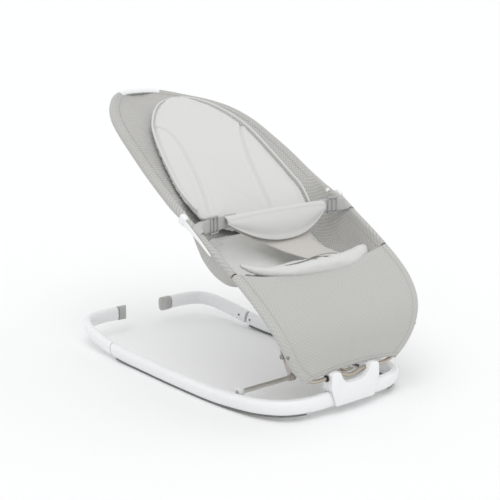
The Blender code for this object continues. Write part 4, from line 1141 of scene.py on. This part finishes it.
def seat_height(x, y):
    ramp = np.clip((RAMP_FROM - y) / RAMP_LENGTH, 0.0, 1.0) ** 1.4
    return trough_height(x, y, SEAT_POWER) + RAMP_HEIGHT * ramp


def folded(deep, shallow):
    """Soft uneven folds and smaller creases, the same on every run."""
    def change(spots, normals):
        folds = np.array([mathutils.noise.noise(Vector((x * 9.0, y * 22.0, z * 14.0 + 3.0)))
                          for x, y, z in spots])
        creases = np.array([mathutils.noise.noise(Vector((x * 34.0 + 7.0, y * 60.0, z * 30.0)))
                            for x, y, z in spots])
        upper = np.clip(normals[:, 2] * 2.0, 0.0, 1.0)
        return normals * ((folds * deep + creases * shallow) * upper)[:, None]
    return change


seat_y = np.linspace(SEAT_FRONT, SEAT_BACK, 28)
liner_seat = leaf_solid("liner_seat_pad", seat_y, at_depth(SEAT_HALF, seat_y), np.zeros(28),
                        seat_height, 0.013, 0.0035, liner_jersey)
puffed(liner_seat, 0.0045, 4.0, 0.005)
reshaped(liner_seat, folded(0.0055, 0.0022))
reshaped(liner_seat, clear_of_mesh)
stands_for(liner_seat, "seat", "liner_fabric", "liner_seat")

LIP_PATH = [(-0.160, -0.2040, 0.2760), (-0.135, -0.2100, 0.2650), (-0.100, -0.2160, 0.2570),
            (-0.033, -0.2210, 0.2490), (0.050, -0.2200, 0.2470), (0.100, -0.2170, 0.2475),
            (0.142, -0.2080, 0.2530), (0.168, -0.1990, 0.2600)]
LIP_RADII = [(0.0, 0.0040), (0.06, 0.0066), (0.18, 0.0088), (0.38, 0.0115), (0.60, 0.0150), (0.80, 0.0172),
             (0.92, 0.0160), (0.97, 0.0120), (1.0, 0.0050)]
lip_line = curve_through(LIP_PATH, 90)
lip_half = np.interp(np.linspace(0.0, 1.0, 90), *np.array(LIP_RADII).T)
lip_rows = []
for p, half in zip(lip_line, lip_half):
    gather = 1.0 + 0.10 * math.sin(p[0] * 230.0) * math.exp(-((p[0] - 0.05) / 0.06) ** 2)
    lip_rows.append([(p[0], p[1] + half * 1.15 * math.cos(a),
                      p[2] + half * math.sin(a) * (gather if math.sin(a) > 0 else 1.0))
                     for a in np.linspace(0.0, 2 * math.pi, 32, endpoint=False)])
liner_lip = grid_piece("liner_lip_roll", lip_rows, liner_jersey, ring=True, ends=True)
puffed(liner_lip, 0.003, 4.0, 0.003)
reshaped(liner_lip, folded(0.0020, 0.0018))
stands_for(liner_lip, "seat", "liner_fabric", "liner_lip")

# ---------------------------------------------------------------- crotch panel
# A warm grey mesh panel comes up between the legs from under the lip and is sewn inside the belt flap.
# It is two layers of mesh with a bound edge.
CROTCH_BEIGE = (0.555, 0.535, 0.50, 1.0)

crotch_mesh = knit("crotch_mesh", CROTCH_BEIGE, 0.0042, 0.0036, 0.12, 0.0005)
CROTCH_LINE = [(-0.1290, 0.3300), (-0.1330, 0.3080), (-0.1400, 0.2930), (-0.1560, 0.2820),
               (-0.1780, 0.2730), (-0.2050, 0.2660)]
CROTCH_HALF_WIDTHS = [(0.0, 0.1120), (0.12, 0.1060), (0.24, 0.0820), (0.36, 0.0590), (0.50, 0.0480),
                      (0.75, 0.0400), (1.0, 0.0370)]
CROTCH_SHIFTS = [(0.0, 0.006), (0.3, 0.010), (0.6, 0.024), (1.0, 0.046)]
CROTCH_BOW_REACH, CROTCH_BOW_DEPTH, CROTCH_BOW_RISE = 0.128, 0.030, 0.006
CROTCH_ROUNDING = 0.0035
BINDING_RADIUS = 0.0014


crotch_line = curve_through(CROTCH_LINE, 48)
crotch_half = np.interp(np.linspace(0.0, 1.0, 48), *np.array(CROTCH_HALF_WIDTHS).T)
crotch_rows = []
for (y, z), half, v in zip(crotch_line, crotch_half, np.linspace(0.0, 1.0, 48)):
    waist = max(0.0, 1.0 - v / 0.55)
    shift = at_depth(CROTCH_SHIFTS, v)
    row = []
    for u in np.linspace(-1.0, 1.0, 41):
        x = u * half
        bow = (x / CROTCH_BOW_REACH) ** 2
        row.append((x + shift, y + CROTCH_BOW_DEPTH * bow * waist ** 0.5,
                    z + CROTCH_BOW_RISE * bow * waist - CROTCH_ROUNDING * u ** 2 * (1 - waist)))
    crotch_rows.append(row)
crotch_panel = cloth_piece("crotch_panel", crotch_rows, crotch_mesh, 0.0026)
stands_for(crotch_panel, "seat", "crotch_fabric", "crotch_strap")
for side_name, column in (("left", 0), ("right", -1)):
    edge = [row[column] for row in crotch_rows]
    binding("crotch_binding_" + side_name, edge, BINDING_RADIUS * 1.4, crotch_mesh, "seat",
            "crotch_fabric")

# ---------------------------------------------------------------- belt flap
# The lap belt is a half-moon of doubled cloth, folded over the webbing, with a corded lower edge. Its
# front is left plain.
BELT_GREY = (0.625, 0.625, 0.608, 1.0)
FLAP_HALF = 0.127
FLAP_SHIFT = 0.005
FLAP_THICK = 0.0034
FLAP_DROP = 0.048
FLAP_BACK_DROP = 0.024
FLAP_CORD = 0.0022

belt_cloth = knit("belt_cloth", BELT_GREY, 0.0024, 0.0020, 0.06, 0.0003, sheen=0.3)
flap_rows = []
front_hem = []
for u in np.linspace(-1.0, 1.0, 90):
    gape = 0.0050 + 0.0050 * u ** 4
    top_y = -0.1345 + 0.0240 * u ** 2
    top_z = 0.3530 - 0.0075 * u ** 2
    drop = 0.0100 + FLAP_DROP * max(0.0, 1.0 - abs(u) ** 2.2)
    row = []
    for s in np.linspace(1.0, 0.0, 22):
        swell = 0.0050 * math.sin(math.pi * min(1.0, s * 1.2)) * (1 - u ** 4)
        row.append((FLAP_SHIFT + u * FLAP_HALF, top_y - gape - 0.0090 * s * (1 - u ** 2) - swell,
                    top_z - gape - s * max(drop - gape, 0.001)))
    front_hem.append(row[0])
    for angle in np.linspace(math.radians(170.0), math.radians(10.0), 9):
        row.append((FLAP_SHIFT + u * FLAP_HALF, top_y + gape * math.cos(angle),
                    top_z - gape + gape * math.sin(angle)))
    for s in np.linspace(0.0, 1.0, 8):
        row.append((FLAP_SHIFT + u * FLAP_HALF, top_y + gape, top_z - gape - s * (FLAP_BACK_DROP - gape)))
    flap_rows.append(row)
belt_flap = cloth_piece("belt_flap_cloth", flap_rows, belt_cloth, FLAP_THICK)
stands_for(belt_flap, "seat", "belt_fabric", "belt_flap")
binding("belt_flap_cord", front_hem, FLAP_CORD, belt_cloth, "seat", "belt_fabric")

# ---------------------------------------------------------------- belt straps and adjusters
# Flat polyester webbing, 25 mm wide, joins the flap to the frame at both hips. Each strap is threaded
# through a grey moulded ladder lock that sets its length.
WEB_GREY = (0.50, 0.50, 0.49, 1.0)
BUCKLE_GREY = (0.36, 0.37, 0.37, 1.0)
WEB_HALF = 0.0125
WEB_TWIST_FROM = 0.181
WEB_LINE = [(0.1000, -0.1175, 0.3400), (0.1150, -0.1105, 0.3380), (0.1288, -0.1118, 0.3368),
            (0.1530, -0.1169, 0.3360), (0.1700, -0.1205, 0.3355), (0.1810, -0.1228, 0.3352),
            (0.1900, -0.1238, 0.3366), (0.1975, -0.1240, 0.3330), (0.2005, -0.1245, 0.3260),
            (0.1985, -0.1250, 0.3195), (0.1930, -0.1250, 0.3175)]
WEB_ALONG_WIRE = np.array((0.0, 0.865, 0.500))
LOCK_HALF_LENGTH = 0.0110
LOCK_HALF_HEIGHT = 0.0162
LOCK_BAR = 0.0024
LOCK_FRONT, LOCK_REAR = 0.0026, -0.0024
LOCK_AT = np.array((0.1530, -0.1169, 0.3360))
LOCK_ALONG = np.array((0.978, -0.206, -0.030))


def block(rings_from, half, less=0.0006):
    """A small rounded bar: its centre, its three half sizes and its softened edges."""
    rings = []
    for depth, inset in ((-1.0, less), (-1.0 + 2 * less / (2 * half[0]), 0.0),
                         (1.0 - 2 * less / (2 * half[0]), 0.0), (1.0, less)):
        middle = np.array(rings_from) + np.array((depth * half[0], 0.0, 0.0))
        rings.append(squared_ring(middle, (0.0, 1.0, 0.0), (0.0, 0.0, 1.0), half[1] - inset,
                                  half[2] - inset, 0.35, 24))
    return np.array(rings)


webbing = knit("webbing_twill", WEB_GREY, 0.0030, 0.0016, 0.14, 0.0004, sheen=0.15)
buckle_grey = moulded("buckle_grey", BUCKLE_GREY, 0.36, 700.0)
web_line = curve_through(WEB_LINE, 90)
for side_name, sign in SIDES:
    flip = np.array((sign, 1.0, 1.0))
    web_rows = []
    for p in web_line:
        turn = np.clip((p[0] - WEB_TWIST_FROM) / 0.009, 0.0, 1.0)
        turn = turn * turn * (3 - 2 * turn) if p[2] > 0.3300 or p[0] < 0.19 else 1.0
        wide = unit(np.array((0.0, 0.0, 1.0)) * (1 - turn) + WEB_ALONG_WIRE * turn)
        web_rows.append([(p + wide * WEB_HALF * s) * flip for s in np.linspace(-1.0, 1.0, 11)])
    strap = cloth_piece("belt_webbing_" + side_name, web_rows, webbing, 0.0015)
    stands_for(strap, "seat", "webbing", "belt_strap_" + side_name)

    facing = unit(np.cross((0.0, 0.0, 1.0), LOCK_ALONG))
    facing = facing if facing[1] < 0 else -facing
    bars = [((-LOCK_HALF_LENGTH + LOCK_BAR / 2, LOCK_FRONT, 0.0), (LOCK_BAR / 2, 0.0010, LOCK_HALF_HEIGHT)),
            ((0.0, LOCK_FRONT, 0.0), (LOCK_BAR * 0.55, 0.0012, LOCK_HALF_HEIGHT)),
            ((LOCK_HALF_LENGTH - LOCK_BAR / 2, LOCK_FRONT, 0.0), (LOCK_BAR / 2, 0.0010, LOCK_HALF_HEIGHT)),
            ((-LOCK_HALF_LENGTH * 0.5, LOCK_REAR, 0.0), (LOCK_BAR * 0.7, 0.0008, LOCK_HALF_HEIGHT)),
            ((LOCK_HALF_LENGTH * 0.5, LOCK_REAR, 0.0), (LOCK_BAR * 0.7, 0.0008, LOCK_HALF_HEIGHT)),
            ((0.0, 0.0001, LOCK_HALF_HEIGHT - 0.0009), (LOCK_HALF_LENGTH, 0.0034, 0.0013)),
            ((0.0, 0.0001, -LOCK_HALF_HEIGHT + 0.0009), (LOCK_HALF_LENGTH, 0.0034, 0.0013))]
    shells = []
    for number, (middle, half) in enumerate(bars):
        rings = block(middle, half)
        rings = (LOCK_AT + rings[..., :1] * LOCK_ALONG + rings[..., 1:2] * facing
                 + rings[..., 2:] * np.array((0.0, 0.0, 1.0))) * flip
        shells.append(grid_piece("bar_%d" % number, rings, buckle_grey, ring=True, ends=True))
    with bpy.context.temp_override(active_object=shells[0], selected_editable_objects=shells):
        bpy.ops.object.join()
    lock = shells[0]
    lock.name = "ladder_lock_" + side_name
    stands_for(crisp(lock), side_name + "_adjuster", "buckle_grey", "adjuster_" + side_name)
